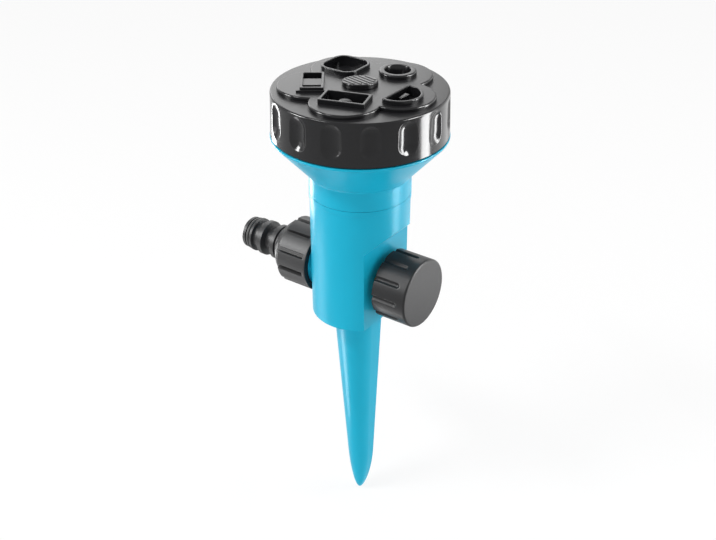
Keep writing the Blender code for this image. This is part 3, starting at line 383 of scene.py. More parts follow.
def throatBore(radius, shift=0.0, steps=40):
    shape = cutterRod(radius, nozzle["throatHigh"], steps)
    bmesh.ops.translate(shape, vec=(0, shift, 0), verts=shape.verts)
    return shape


def throatSlot(length, width, shift=(0.0, 0.0)):
    shape = raisedBlock(boxCorners(length, width), nozzle["cutLow"], nozzle["throatHigh"],
                        nozzle["slotCorner"], 3)
    bmesh.ops.translate(shape, vec=(*shift, 0), verts=shape.verts)
    return shape


def halfMoonCorners(radius, behind, steps=30):
    shape = bmesh.new()
    start = shape.verts.new((0, -radius, 0))
    bmesh.ops.spin(shape, geom=[start], cent=(0, 0, 0), axis=(0, 0, 1), angle=math.pi, steps=steps,
                   use_merge=False, use_duplicate=False)
    corners = sorted(((point.co.x, point.co.y) for point in shape.verts),
                     key=lambda xy: math.atan2(xy[1], xy[0]))
    shape.free()
    return [(-behind, -radius)] + corners + [(-behind, radius)]


halfMoon = dict(radius=0.0090, back=0.0012, corner=0.0010, shift=(0.0016, -0.0024),
                throat=(0.0012, 0.0078), finLength=0.0060, finWide=0.0024, finNarrow=0.0008,
                finPlace=0.0020, finDrop=0.0010, finFoot=0.1115, finCorner=0.00035, finEdge=0.0003)


def halfMoonNozzle(holes):
    outer, behind = halfMoon["radius"] + nozzle["wall"], halfMoon["back"] + nozzle["wall"]
    shape, opening = nozzleCup(halfMoonCorners(outer, behind), halfMoon["corner"], 6,
                               halfMoonCorners(outer - nozzle["ledge"], behind - nozzle["ledge"]))
    place = nozzlePlace(0, halfMoon["shift"], 0.0)
    holes.append(asObject("hole", opening, place))
    slotPlace = (halfMoon["finPlace"] - halfMoon["finWide"] / 2 - halfMoon["back"]) / 2
    cup = finishedCup("halfMoon", shape, place, [throatSlot(*halfMoon["throat"], (slotPlace, 0.0))])
    # the fin is a wedge, narrow at the end that points away from the flow knob
    half, finTop = halfMoon["finLength"] / 2, nozzle["rimTop"] - halfMoon["finDrop"]
    wide, narrow = halfMoon["finWide"] / 2, halfMoon["finNarrow"] / 2
    fin = raisedBlock([(-narrow, -half), (narrow, -half), (wide, half), (-wide, half)],
                      halfMoon["finFoot"], finTop, halfMoon["finCorner"], 4)
    softenEdges(fin, halfMoon["finEdge"], 3, topEdges(finTop))
    return [cup, asObject("fin", fin, place @ Matrix.Translation((halfMoon["finPlace"], 0, 0)))]


roundCup = dict(radius=0.0060, wall=0.00245, throat=0.0046, outerEdge=0.0008)


def roundNozzle(holes):
    top, outer = nozzle["rimTop"], roundCup["radius"] + roundCup["wall"]
    shape = turnedShape([(roundCup["throat"], dial["under"]), (roundCup["throat"], nozzle["floor"]),
                         (roundCup["radius"], top), (outer, top), (outer, dial["under"])], 72)
    onTop, middle = topEdges(top), (roundCup["radius"] + outer) / 2
    softenEdges(shape, roundCup["outerEdge"], 5,
                lambda edge: onTop(edge) and axisDistance(edge.verts[0]) > middle)
    softenEdges(shape, nozzle["rimEdge"], 3,
                lambda edge: onTop(edge) and axisDistance(edge.verts[0]) < middle)
    place = nozzlePlace(1)
    holes.append(asObject("hole", cutterRod(outer - nozzle["ledge"], nozzle["cutHigh"], 64), place))
    return [asObject("roundCup", shape, place)]


squareCup = dict(side=0.0168, corner=0.0048, throat=0.0036)


def squareNozzle(holes):
    outer = squareCup["side"] + 2 * nozzle["wall"]
    inner = outer - 2 * nozzle["ledge"]
    shape, opening = nozzleCup(boxCorners(outer, outer), squareCup["corner"] + nozzle["wall"], 10,
                               boxCorners(inner, inner))
    place = nozzlePlace(2, turn=0.0)
    holes.append(asObject("hole", opening, place))
    return [finishedCup("squareCup", shape, place, [throatBore(squareCup["throat"])])]


def boxNozzle(name, index, along, across, throats, holes):
    # a four-sided frame with crisp corners, across the dial's turn
    twice, less = 2 * nozzle["wall"], 2 * (nozzle["wall"] - nozzle["ledge"])
    shape, opening = nozzleCup(boxCorners(along + twice, across + twice), nozzle["crispCorner"], 4,
                               boxCorners(along + less, across + less))
    place = nozzlePlace(index)
    holes.append(asObject("hole", opening, place))
    return finishedCup(name, shape, place, throats)


twinSlot = dict(along=0.0080, slot=0.0043, throat=(0.0056, 0.0024), bridge=0.0080, bridgeDrop=0.0010,
                bridgeEdge=0.0003, footWide=0.0138, footDeep=0.0022, footHigh=0.0009, footSunk=0.0004,
                footOut=0.0004, footCorner=0.0004, footEdge=0.00025)


def twinSlotNozzle(holes):
    across = 2 * twinSlot["slot"] + twinSlot["bridge"]
    reach = (twinSlot["bridge"] + twinSlot["slot"]) / 2
    throats = [throatSlot(*twinSlot["throat"], (0.0, side * reach)) for side in (-1, 1)]
    cup = boxNozzle("slotCup", 3, twinSlot["along"], across, throats, holes)
    bridgeTop = nozzle["rimTop"] - twinSlot["bridgeDrop"]
    bridge = raisedBlock(boxCorners(twinSlot["along"] + nozzle["wall"], twinSlot["bridge"]),
                         nozzle["sunk"], bridgeTop)
    softenEdges(bridge, twinSlot["bridgeEdge"], 3, topEdges(bridgeTop))
    # a low step stands at one end of the frame
    footTop = dial["lobeTop"] + twinSlot["footHigh"]
    foot = raisedBlock(boxCorners(twinSlot["footWide"], twinSlot["footDeep"]),
                       dial["lobeTop"] - twinSlot["footSunk"], footTop, twinSlot["footCorner"], 3)
    softenEdges(foot, twinSlot["footEdge"], 3, topEdges(footTop))
    outward = across / 2 + nozzle["wall"] - twinSlot["footDeep"] / 2 + twinSlot["footOut"]
    return [cup, asObject("bridge", bridge, nozzlePlace(3)),
            asObject("slotFoot", foot, nozzlePlace(3) @ Matrix.Translation((0, outward, 0)))]


slabCup = dict(width=0.0097, length=0.0184, throat=0.0017, throatReach=0.0054, throatSteps=24,
               dome=0.0034, domeDrop=0.0013, crownHeight=0.0012, crownSteps=8)


def slabNozzle(holes):
    throats = [throatBore(slabCup["throat"], side * slabCup["throatReach"], slabCup["throatSteps"])
               for side in (-1, 1)]
    cup = boxNozzle("slabCup", 4, slabCup["width"], slabCup["length"], throats, holes)
    dome, height, steps = taken(slabCup, "dome crownHeight crownSteps")
    crown = nozzle["rimTop"] - slabCup["domeDrop"]
    profile = [(0, nozzle["sunk"]), (dome, nozzle["sunk"]), (dome, crown - height)]
    for step in range(1, steps + 1):
        angle = math.pi / 2 * step / steps
        profile.append((dome * math.cos(angle), crown - height * (1 - math.sin(angle))))
    return [cup, asObject("dome", turnedShape(profile, 40), nozzlePlace(4))]


def raisedTop(holes):
    # the five-lobed deck, open at the screw well and at the nozzles
    shape = bmesh.new()
    bmesh.ops.create_circle(shape, cap_ends=True, segments=dial["lobeColumns"], radius=1.0)
    for point in shape.verts:
        angle = math.atan2(point.co.y, point.co.x)
        reach = lobeReach(angle)
        point.co = (reach * math.cos(angle), reach * math.sin(angle), dial["under"])
    bmesh.ops.translate(shape, vec=(0, 0, dial["lobeTop"] - dial["under"]),
                        verts=pulledOut(shape, shape.faces))
    bmesh.ops.recalc_face_normals(shape, faces=shape.faces)
    softenEdges(shape, dial["lobeEdge"], 4, topEdges(dial["lobeTop"]))
    top = asObject("raisedTop", shape)
    carve(top, asObject("well", cutterRod(dial["wellRadius"], nozzle["cutHigh"], 48)))
    for hole in holes:
        carve(top, hole)
    return top


dialCore = dict(foot=0.1017, top=0.1103, hub=0.0094, pillarBore=0.0063, boreTop=0.1077,
                screwBore=0.0043, screwWell=0.0069, wellFloor=0.1099, chamber=0.0090, chamberBore=0.0076)


def dialInside():
    # the hub, with a bore for the pillar and a well for the screw, and a chamber under each spray
    foot, top, floor, boreTop = taken(dialCore, "foot top wellFloor boreTop")
    hub, pillarBore, screwBore, well = taken(dialCore, "hub pillarBore screwBore screwWell")
    profile = [(pillarBore, foot), (hub, foot), (hub, top), (well, top), (well, floor),
               (screwBore, floor), (screwBore, boreTop), (pillarBore, boreTop)]
    parts = [asObject("hub", turnedShape(profile, 48))]
    inner, outer = taken(dialCore, "chamberBore chamber")
    tube = [(inner, foot), (outer, foot), (outer, top), (inner, top)]
    for index in range(dial["sprays"]):
        parts.append(asObject("chamber", turnedShape(tube, 40), nozzlePlace(index)))
    return parts


def makeDial(finish):
    holes, parts = [], []
    for makeNozzle in (halfMoonNozzle, roundNozzle, squareNozzle, twinSlotNozzle, slabNozzle):
        parts += makeNozzle(holes)
    parts += [raisedTop(holes), dialWall()] + dialInside()
    return settled(gathered("dial_cap", parts), finish, "dial_black", "dial", "turret_dial")


# screw cover in the middle of the dial

cover = dict(radius=0.0080, base=0.1147, lowSide=0.0004, highSide=0.0021, crown=0.0003, edge=0.0006,
             highAngle=-54, ridges=6, pitch=0.0023, ridgeWidth=0.0012, ridgeEdge=0.00022, rise=0.0003,
             turn=-20, plug=0.0067, plugWall=0.0014, plugDepth=0.0018, overlap=0.0002)


def coverLevel(x, y):
    # height of the sloping top at the edge, over a place on the cover
    slope = (cover["highSide"] - cover["lowSide"]) / (2 * cover["radius"])
    toward = math.radians(cover["highAngle"])
    middle = cover["base"] + (cover["highSide"] + cover["lowSide"]) / 2
    return middle + slope * (x * math.cos(toward) + y * math.sin(toward))


def coverCap():
    shape = bmesh.new()
    bmesh.ops.create_circle(shape, cap_ends=True, segments=96, radius=cover["radius"])
    bmesh.ops.translate(shape, vec=(0, 0, cover["base"]), verts=shape.verts)
    for point in pulledOut(shape, shape.faces):
        point.co.z = coverLevel(point.co.x, point.co.y) + cover["crown"]
    bmesh.ops.recalc_face_normals(shape, faces=shape.faces)
    softenEdges(shape, cover["edge"], 5,
                lambda edge: min(point.co.z for point in edge.verts) > cover["base"] + closeBy)
    return asObject("cap", shape)


def coverRidge(offset):
    half = math.sqrt((cover["radius"] - cover["edge"]) ** 2 - offset ** 2) - cover["ridgeWidth"] / 2
    ridge = bmesh.new()
    bmesh.ops.create_grid(ridge, x_segments=10, y_segments=1, size=0.5)
    bmesh.ops.scale(ridge, vec=(2 * half, cover["ridgeWidth"], 1), verts=ridge.verts)
    bmesh.ops.translate(ridge, vec=(0, offset, 0), verts=ridge.verts)
    bmesh.ops.rotate(ridge, cent=(0, 0, 0), verts=ridge.verts,
                     matrix=Matrix.Rotation(math.radians(cover["turn"]), 3, "Z"))
    raised = set(pulledOut(ridge, ridge.faces))
    for point in ridge.verts:
        level = coverLevel(point.co.x, point.co.y) + cover["crown"]
        point.co.z = level + cover["rise"] if point in raised else level - cover["rise"]
    bmesh.ops.recalc_face_normals(ridge, faces=ridge.faces)
    softenEdges(ridge, cover["ridgeEdge"], 3, smallest=50)
    return asObject("ridge", ridge)


def makeCover(finish):
    inner, outer = cover["plug"] - cover["plugWall"], cover["plug"]
    foot, top = cover["base"] - cover["plugDepth"], cover["base"] + cover["overlap"]
    plug = turnedShape([(inner, foot), (outer, foot), (outer, top), (inner, top)], 72)
    parts = [coverCap(), asObject("plug", plug)]
    for index in range(cover["ridges"]):
        parts.append(coverRidge((index - (cover["ridges"] - 1) / 2) * cover["pitch"]))
    return settled(gathered("dial_screw_cap", parts), finish, "cover_black", "dial", "screw_cover")


# blue head housing; the socket inside takes the body's riser, and the dial turns on the pillar

housing = dict(collar=0.0236, collarFoot=0.06303, collarTop=0.0726, collarBore=0.0211, coneFoot=0.0735,
               rim=0.0404, rimFoot=0.0909, rimTop=0.0918, deck=0.0976, deckUnder=0.0952,
               deckRadius=0.0362, bowlBore=0.0340, bowlFoot=0.0875, socket=0.0111, socketBore=0.0088,
               socketFoot=0.0680, socketRoof=0.0849, socketTop=0.0874, pillar=0.0060, pillarTop=0.1074,
               boss=0.0040, bossTop=0.1102, collarEdge=0.0008, edge=0.0003, edgeReach=0.0235,
               edgeClear=0.0012)


def makeHousing(finish):
    collar, collarBore, collarFoot, collarTop = taken(housing, "collar collarBore collarFoot collarTop")
    rim, rimFoot, rimTop, bowl, bowlFoot = taken(housing, "rim rimFoot rimTop bowlBore bowlFoot")
    deck, deckUnder, deckRadius, coneFoot = taken(housing, "deck deckUnder deckRadius coneFoot")
    socket, bore, foot, roof, top = taken(housing, "socket socketBore socketFoot socketRoof socketTop")
    pillar, pillarTop, boss, bossTop = taken(housing, "pillar pillarTop boss bossTop")
    profile = [(0, roof), (bore, roof), (bore, foot), (socket, foot), (socket, top), (pillar, top),
               (pillar, deckUnder), (bowl, deckUnder), (bowl, bowlFoot), (collarBore, coneFoot),
               (collarBore, collarFoot), (collar, collarFoot), (collar, collarTop), (rim, rimFoot),
               (rim, rimTop), (deckRadius, rimTop), (deckRadius, deck), (pillar, deck),
               (pillar, pillarTop), (boss, pillarTop), (boss, bossTop), (0, bossTop)]
    shape = turnedShape(profile, 160)

    def atCollarTop(edge):
        return all(abs(axisDistance(point) - collar) < closeBy
                   and abs(point.co.z - collarTop) < closeBy for point in edge.verts)

    def elsewhereOutside(edge):
        return all(axisDistance(point) > housing["edgeReach"]
                   and abs(point.co.z - collarTop) > housing["edgeClear"] for point in edge.verts)

    softenEdges(shape, housing["collarEdge"], 4, atCollarTop)
    softenEdges(shape, housing["edge"], 3, elsewhereOutside)
    return settled(asObject("head_bowl", shape), finish, "head_blue", "base", "head_housing")


# blue valve body; its sleeve goes up into the head's collar and its riser into the head's socket

body = dict(footRadius=0.0229, topRadius=0.0233, band=0.0236, height=0.0630, bandHeight=0.0024,
            sleeve=0.0208, sleeveTop=0.0715, hollow=0.0186, hollowFloor=0.0477, riser=0.0085,
            riserTop=0.0760, riserBore=0.0055, knobFlat=0.0148, stubFlat=0.0186, flatTop=0.0408,
            flatBelow=0.001, flatReach=0.030, stubRadius=0.01322, stubEnd=0.0310, stubRoot=0.0006,
            threadPitch=0.001814, threadDepth=0.00116, threadRows=90, edge=0.0003, edgeReach=0.0140,
            edgeBelow=0.001)

# radius, start and end of each stretch of the water's way, along the valve's line
waterSteps = [(0.0100, -0.0320, -0.0190), (0.0050, -0.0190, -0.0076), (0.0062, -0.0076, -0.0083),
              (0.0080, -0.0083, 0.0062), (0.0085, 0.0062, 0.0240)]


def flatTool(side, flat):
    # takes off all that lies beyond a flat, and slopes outward above it
    shape = bmesh.new()
    reach, low, high = body["flatReach"], -body["flatBelow"], body["flatTop"]
    corners = [(flat, low), (flat + reach, low), (flat + reach, high + reach), (flat, high)]
    face = shape.faces.new([shape.verts.new((side * x, -reach, z)) for x, z in corners])
    bmesh.ops.translate(shape, vec=(0, 2 * reach, 0), verts=pulledOut(shape, [face]))
    bmesh.ops.recalc_face_normals(shape, faces=shape.faces)
    return asObject("flatTool", shape)


def threadedStub():
    # one thread winds round the stub, round at its crests and roots
    start, end, rows = body["stubFlat"] - body["stubRoot"], body["stubEnd"], body["threadRows"]
    profile = [(0, -start)]
    profile += [(body["stubRadius"], -start - (end - start) * row / rows) for row in range(rows + 1)]
    shape = turnedShape(profile + [(0, -end)], 96)
    for point in shape.verts:
        distance = axisDistance(point)
        if distance > closeBy:
            turns = point.co.z / body["threadPitch"] + math.atan2(point.co.y, point.co.x) / math.tau
            depth = body["threadDepth"] / distance * (0.5 - 0.5 * math.cos(math.tau * turns))
            drawnIn(point, 1 - depth)
    return asObject("stub", shape, valveLine)


def makeBody(finish):
    height, band, sleeve, sleeveTop = taken(body, "height band sleeve sleeveTop")
    hollow, floor, riser, riserTop, bore = taken(body, "hollow hollowFloor riser riserTop riserBore")
    bandFoot = height - body["bandHeight"]
    profile = [(0, 0), (body["footRadius"], 0), (body["topRadius"], bandFoot), (band, bandFoot),
               (band, height), (sleeve, height), (sleeve, sleeveTop), (hollow, sleeveTop),
               (hollow, floor), (riser, floor), (riser, riserTop), (bore, riserTop),
               (bore, valveHeight), (0, valveHeight)]
    shell = asObject("bodyShell", turnedShape(profile, 144))
    carve(shell, flatTool(1, body["knobFlat"]))
    carve(shell, flatTool(-1, body["stubFlat"]))
    shape = bmesh.new()
    shape.from_mesh(shell.data)
    bpy.data.objects.remove(shell, do_unlink=True)

    def outside(edge):
        return all(axisDistance(point) > body["edgeReach"] and point.co.z < height - body["edgeBelow"]
                   for point in edge.verts)

    softenEdges(shape, body["edge"], 3, outside, smallest=20)
    shell = asObject("body_shell", shape)
    carve(shell, threadedStub(), "UNION")
    waterway = [(0, waterSteps[0][1])]
    for radius, start, end in waterSteps:
        waterway += [(radius, start), (radius, end)]
    waterway.append((0, waterSteps[-1][2]))
    carve(shell, asObject("waterway", turnedShape(waterway, 48), valveLine))
    return settled(shell, finish, "body_blue", "base", "valve_body")


# blue ground spike

spike = dict(length=0.1125, half=0.01015, taper=0.0508, point=0.0245, shift=0.0018, lean=0.0287,
             arcShare=0.213, legShare=0.585, wall=0.0022, backShare=1.5, solidEnd=0.0160, plate=0.0030,
             start=0.0003, blunt=0.992, frontSteps=28, shaftSteps=6, pointTurn=9, edge=0.0004,
             leastRise=0.0005)
tenon = dict(length=0.0114, width=0.0094, foot=-0.0015, top=0.0080, corner=0.0010, shift=-0.0020)


def spikeLoft(inner):
    # the top outline is drawn once, then pushed down and narrowed step by step
    shape = bmesh.new()
    half, middle = spike["half"] - inner, -spike["shift"]
    front = shape.verts.new((-half, middle - spike["arcShare"] * spike["half"], 0))
    bmesh.ops.spin(shape, geom=[front], cent=(0, front.co.y, 0), axis=(0, 0, 1), angle=math.pi,
                   steps=spike["frontSteps"], use_merge=False, use_duplicate=False)
    shape.verts.ensure_lookup_table()
    ends = sorted((point for point in shape.verts if len(point.link_edges) == 1),
                  key=lambda point: point.co.x)
    back = middle + spike["legShare"] * spike["half"] + (inner * spike["backShare"])
    corners = [shape.verts.new((end.co.x, back, 0)) for end in ends]
    loop = list(shape.edges) + [shape.edges.new((ends[0], corners[0])),
                                shape.edges.new((ends[1], corners[1])), shape.edges.new(corners)]
    shaft = spike["length"] - spike["point"]
    if inner:
        depths = [spike["plate"], shaft / 3, shaft * 2 / 3, shaft, spike["length"] - spike["solidEnd"]]
    else:
        steps, turn = spike["shaftSteps"], spike["pointTurn"]
        depths = [spike["start"]] + [shaft * step / steps for step in range(1, steps + 1)]
        depths += [shaft + spike["point"] * math.sin(math.radians(angle))
                   for angle in range(turn, 90 + 1, turn)]
    scaleNow, middleNow, firstDepth = 1.0, middle, depths[0]
    bmesh.ops.translate(shape, vec=(0, 0, -firstDepth), verts=shape.verts)
    bmesh.ops.contextual_create(shape, geom=loop)
    for depth in depths[1:]:
        along = max(0.0, depth - shaft) / spike["point"]
        roundness = math.sqrt(max(0.0, 1 - (along * spike["blunt"]) ** 2))
        halfNow = (spike["half"] - spike["taper"] * depth) * roundness
        share = (halfNow - inner) / half
        newMiddle = (spike["lean"] * depth - spike["shift"]) * roundness ** 2
        pushed = bmesh.ops.extrude_edge_only(shape, edges=loop)["geom"]
        points = [item for item in pushed if isinstance(item, bmesh.types.BMVert)]
        loop = [item for item in pushed if isinstance(item, bmesh.types.BMEdge)]
        step = share / scaleNow
        matrix = Matrix.Translation((0, newMiddle, -depth)) @ Matrix.Diagonal((step, step, 1, 1))
        matrix = matrix @ Matrix.Translation((0, -middleNow, firstDepth))
        bmesh.ops.transform(shape, matrix=matrix, verts=points)
        scaleNow, middleNow, firstDepth = share, newMiddle, depth
    bmesh.ops.contextual_create(shape, geom=loop)
    bmesh.ops.recalc_face_normals(shape, faces=shape.faces)
    return shape


def makeSpike(finish):
    def backEdge(edge):
        rise = abs(edge.verts[0].co.z - edge.verts[1].co.z)
        return all(point.co.y > 0 for point in edge.verts) and rise > spike["leastRise"]

    outer = spikeLoft(0.0)
    softenEdges(outer, spike["edge"], 3, backEdge, smallest=50)
    blade = asObject("spike_blade", outer)
    carve(blade, asObject("channel", spikeLoft(spike["wall"])))
    plug = raisedBlock(boxCorners(tenon["length"], tenon["width"]), tenon["foot"], tenon["top"],
                       tenon["corner"], 4)
    bmesh.ops.translate(plug, vec=(0, tenon["shift"], 0), verts=plug.verts)
    parts = [blade, asObject("tenon", plug)]
    return settled(gathered("spike_blade", parts), finish, "spike_blue", "base", "ground_spike")


# flow knob

knob = dict(radius=0.0165, back=0.0183, front=0.0361, edge=0.0009, edgeSteps=6, wall=0.0019,
            hub=0.0052, hubBack=0.0203, inside=0.0339, grooves=11, grooveWidth=0.0024,
            grooveDepth=0.0009, lip=0.0003, band=0.0046, columns=440, rows=44)


def makeKnob(finish):
    radius, edge, back, wall, rows, steps = taken(knob, "radius edge back wall rows edgeSteps")
    hub, hubBack, inside = taken(knob, "hub hubBack inside")
    turnIn = knob["front"] - edge
    profile = [(0, hubBack), (hub, hubBack), (hub, inside), (radius - wall, inside), (radius - wall, back)]
    for row in range(rows + 1):
        profile.append((radius, back + (turnIn - back) * row / rows))
    for step in range(1, steps + 1):
        angle = math.pi / 2 * step / steps
        profile.append((radius - edge * (1 - math.cos(angle)), turnIn + edge * math.sin(angle)))
    shape = turnedShape(profile + [(0, knob["front"])], knob["columns"])
    # the grooves run out at the back; one faces -Y, a quarter turn on once the part lies along X
    grooveEnd = knob["front"] - knob["band"] - knob["grooveWidth"] / 2
    scoopOut(shape, knob["grooves"], knob["grooveWidth"], knob["grooveDepth"], radius, -1.0, grooveEnd,
             knob["lip"], phase=-math.pi / 2)
    piece = asObject("knob_cap", shape, valveLine)
    return settled(piece, finish, "knob_black", "spindle", "flow_knob")


# hose connector and its O-ring

connector = dict(back=0.0209, front=0.0380, radius=0.0165, ribEdge=0.0006, edgeSteps=4, ribRows=24,
                 cone=0.0147, coneEnd=0.0450, coneTip=0.0089, coneSteps=12, threadBore=0.01352,
                 threadEnd=0.0340, mouthEdge=0.0003, grooves=11, grooveWidth=0.0021, grooveSide=0.0005,
                 grooveStart=0.0019, grooveRun=0.0007, turn=16, columns=440, bore=0.0045, tip=0.0678,
                 spigotStart=0.0440, spigotRoot=0.0087, spigotEdge=0.00018)
# radius and distance along the spigot, from the nut to the tip
spigotSteps = [(0.0087, 0.0450), (0.0087, 0.0457), (0.0076, 0.0459), (0.0076, 0.0465), (0.0087, 0.0467),
               (0.0087, 0.0492), (0.0058, 0.0500), (0.0058, 0.0537), (0.0087, 0.0546), (0.0087, 0.0571),
               (0.0068, 0.0581), (0.0068, 0.0606), (0.0084, 0.0611), (0.0084, 0.0625), (0.0056, 0.0627),
               (0.0056, 0.0652), (0.0078, 0.0653), (0.0078, 0.0669), (0.0069, 0.0678)]


def eased(share):
    return share * share * (3 - 2 * share)


def nutProfile():
    back, front, radius, edge, cone, coneTip = taken(connector, "back front radius ribEdge cone coneTip")
    rows, edgeSteps, coneSteps, coneEnd = taken(connector, "ribRows edgeSteps coneSteps coneEnd")
    threadBore, threadEnd, bore = taken(connector, "threadBore threadEnd bore")
    profile = [(threadBore, -threadEnd), (threadBore, -back), (radius, -back)]
    for row in range(1, rows + 1):
        profile.append((radius, -back - (front - edge - back) * row / rows))
    for step in range(1, edgeSteps + 1):
        angle = math.pi / 2 * step / edgeSteps
        profile.append((radius - edge * (1 - math.cos(angle)), -front + edge * (1 - math.sin(angle))))
    profile.append((cone, -front))
    for step in range(1, coneSteps + 1):
        fall = (cone - coneTip) * math.cos(math.pi / 2 * step / coneSteps)
        profile.append((coneTip + fall, -front - (coneEnd - front) * step / coneSteps))
    return profile + [(bore, -coneEnd), (bore, -threadEnd)]


def ribbedNut():
    # the grooves between the ribs go down to the cone's radius and start a little behind the mouth
    shape = turnedShape(nutProfile(), connector["columns"])
    back, ground, width, softSide = taken(connector, "back cone grooveWidth grooveSide")
    pitch, turned = math.tau / connector["grooves"], math.radians(connector["turn"])
    for point in shape.verts:
        distance = axisDistance(point)
        if distance <= ground + touching or point.co.z > -back - closeBy:
            continue
        angle = math.atan2(point.co.y, point.co.x) + turned
        turn = (angle + pitch / 2) % pitch - pitch / 2
        side = min(1.0, max(0.0, (width / 2 + softSide / 2 - abs(distance * turn)) / softSide))
        along = -back - connector["grooveStart"] - point.co.z
        end = min(1.0, max(0.0, along / connector["grooveRun"]))
        share = eased(side) * eased(end)
        drawnIn(point, (distance - (distance - ground) * share) / distance)
    softenEdges(shape, connector["mouthEdge"], 2, topEdges(-back))
    return shape


def makeConnector(finish):
    bore, root, start = taken(connector, "bore spigotRoot spigotStart")
    profile = [(bore, -start), (root, -start)] + [(radius, -along) for radius, along in spigotSteps]
    spigot = turnedShape(profile + [(bore, -connector["tip"])], 96)
    softenEdges(spigot, connector["spigotEdge"], 2)
    piece = gathered("hose_nut_spigot", [asObject("nut", ribbedNut()), asObject("spigot", spigot)])
    piece.data.transform(valveLine)
    return settled(piece, finish, "connector_black", "base", "hose_connector")


ring = dict(wire=0.0011, radius=0.0070, along=0.06395)


def makeRing(finish):
    shape = bmesh.new()
    bmesh.ops.create_circle(shape, segments=20, radius=ring["wire"])
    bmesh.ops.rotate(shape, cent=(0, 0, 0), verts=shape.verts,
                     matrix=Matrix.Rotation(math.pi / 2, 3, "X"))
    bmesh.ops.translate(shape, vec=(ring["radius"], 0, -ring["along"]), verts=shape.verts)
    bmesh.ops.spin(shape, geom=list(shape.verts) + list(shape.edges), cent=(0, 0, 0), axis=(0, 0, 1),
                   angle=math.tau, steps=72, use_merge=True, use_duplicate=False)
    bmesh.ops.recalc_face_normals(shape, faces=shape.faces)
    return settled(asObject("spigot_seal_ring", shape, valveLine), finish, "rubber", "base",
                   "spigot_o_ring")


# stage, lamps and camera

studio = dict(floor=-0.1131, floorSize=8.0, floorColour=(0.92, 0.92, 0.92, 1), floorRoughness=0.9,
              floorGlow=0.8, skyDiffuse=0.66, white=(1, 1, 1, 1))


def seenDirectly(addNode):
    # one where the camera, a reflection or a clear piece looks, and zero for soft light
    path = addNode("ShaderNodeLightPath")
    either = addNode("ShaderNodeMath", operation="MAXIMUM",
                     links=[(0, path.outputs["Is Camera Ray"]), (1, path.outputs["Is Glossy Ray"])])
    seen = addNode("ShaderNodeMath", operation="MAXIMUM",
                   links=[(0, either.outputs[0]), (1, path.outputs["Is Transmission Ray"])])
    return seen.outputs[0]


def makeFloor():
    shape = bmesh.new()
    bmesh.ops.create_grid(shape, x_segments=8, y_segments=8, size=studio["floorSize"] / 2)
    bmesh.ops.translate(shape, vec=(0, 0, studio["floor"]), verts=shape.verts)
    floor = asObject("floor", shape)
    material, tree, shader, addNode = newFinish("pale_floor")
    shader.inputs["Base Color"].default_value = studio["floorColour"]
    shader.inputs["Roughness"].default_value = studio["floorRoughness"]
    part = addNode("ShaderNodeMath", [(0, seenDirectly(addNode))], operation="MULTIPLY")
    part.inputs[1].default_value = studio["floorGlow"]
    glow = addNode("ShaderNodeEmission", Strength=1.0)
    mix = addNode("ShaderNodeMixShader",
                  [(0, part.outputs[0]), (1, shader.outputs[0]), (2, glow.outputs[0])])
    tree.links.new(mix.outputs[0], tree.nodes["Material Output"].inputs["Surface"])
    floor.data.materials.append(material)


def makeSky():
    # white where it is seen, dimmer where it only lights
    world = bpy.data.worlds.new("studio")
    bpy.context.scene.world = world
    world.use_nodes = True
    tree = world.node_tree
    addNode = nodeAdder(tree)
    plain = tree.nodes["Background"]
    plain.inputs["Strength"].default_value = studio["skyDiffuse"]
    plain.inputs["Color"].default_value = studio["white"]
    seen = addNode("ShaderNodeBackground", Color=studio["white"], Strength=1.0)
    mix = addNode("ShaderNodeMixShader",
                  [(0, seenDirectly(addNode)), (1, plain.outputs[0]), (2, seen.outputs[0])])
    tree.links.new(mix.outputs[0], tree.nodes["World Output"].inputs["Surface"])


def aim(thing, target):
    thing.rotation_euler = (Vector(target) - thing.location).to_track_quat("-Z", "Y").to_euler()


# azimuth counts from +X, elevation from the level of the target; all but three show only as gloss
lamps = dict(
    top_key=dict(azimuth=-120, elevation=50, distance=1.10, level=0.05, width=0.30, height=0.14,
                 radiance=36, glossOnly=False),
    left_softbox=dict(azimuth=-140, elevation=10, distance=1.00, level=0.05, width=0.40, height=0.90,
                      radiance=2.2, glossOnly=False),
    right_softbox=dict(azimuth=40, elevation=10, distance=1.00, level=0.05, width=0.40, height=0.90,
                       radiance=3.5, glossOnly=False),
    back_wall=dict(azimuth=146, elevation=21, distance=0.50, level=0.1144, width=0.50, height=0.25,
                   radiance=3.4),
    right_strip=dict(azimuth=30, elevation=0, distance=0.28, level=0.07, width=0.07, height=0.34,
                     radiance=26),
    right_panel=dict(azimuth=62, elevation=0, distance=0.20, level=0.064, width=0.16, height=0.35,
                     radiance=1.2),
    left_strip=dict(azimuth=172, elevation=0, distance=0.28, level=-0.045, width=0.07, height=0.09,
                    radiance=17),
    left_spark=dict(azimuth=-137, elevation=20, distance=1.00, level=0.10, width=0.30, height=0.30,
                    radiance=45),
    right_spark=dict(azimuth=17, elevation=27, distance=1.00, level=0.10, width=0.30, height=0.35,
                     radiance=50),
    left_card=dict(azimuth=-150, elevation=0, distance=0.13, level=-0.06, width=0.06, height=0.10,
                   radiance=3),
    spike_card=dict(azimuth=-134, elevation=0, distance=0.055, level=-0.075, width=0.02, height=0.07,
                    radiance=12),
)


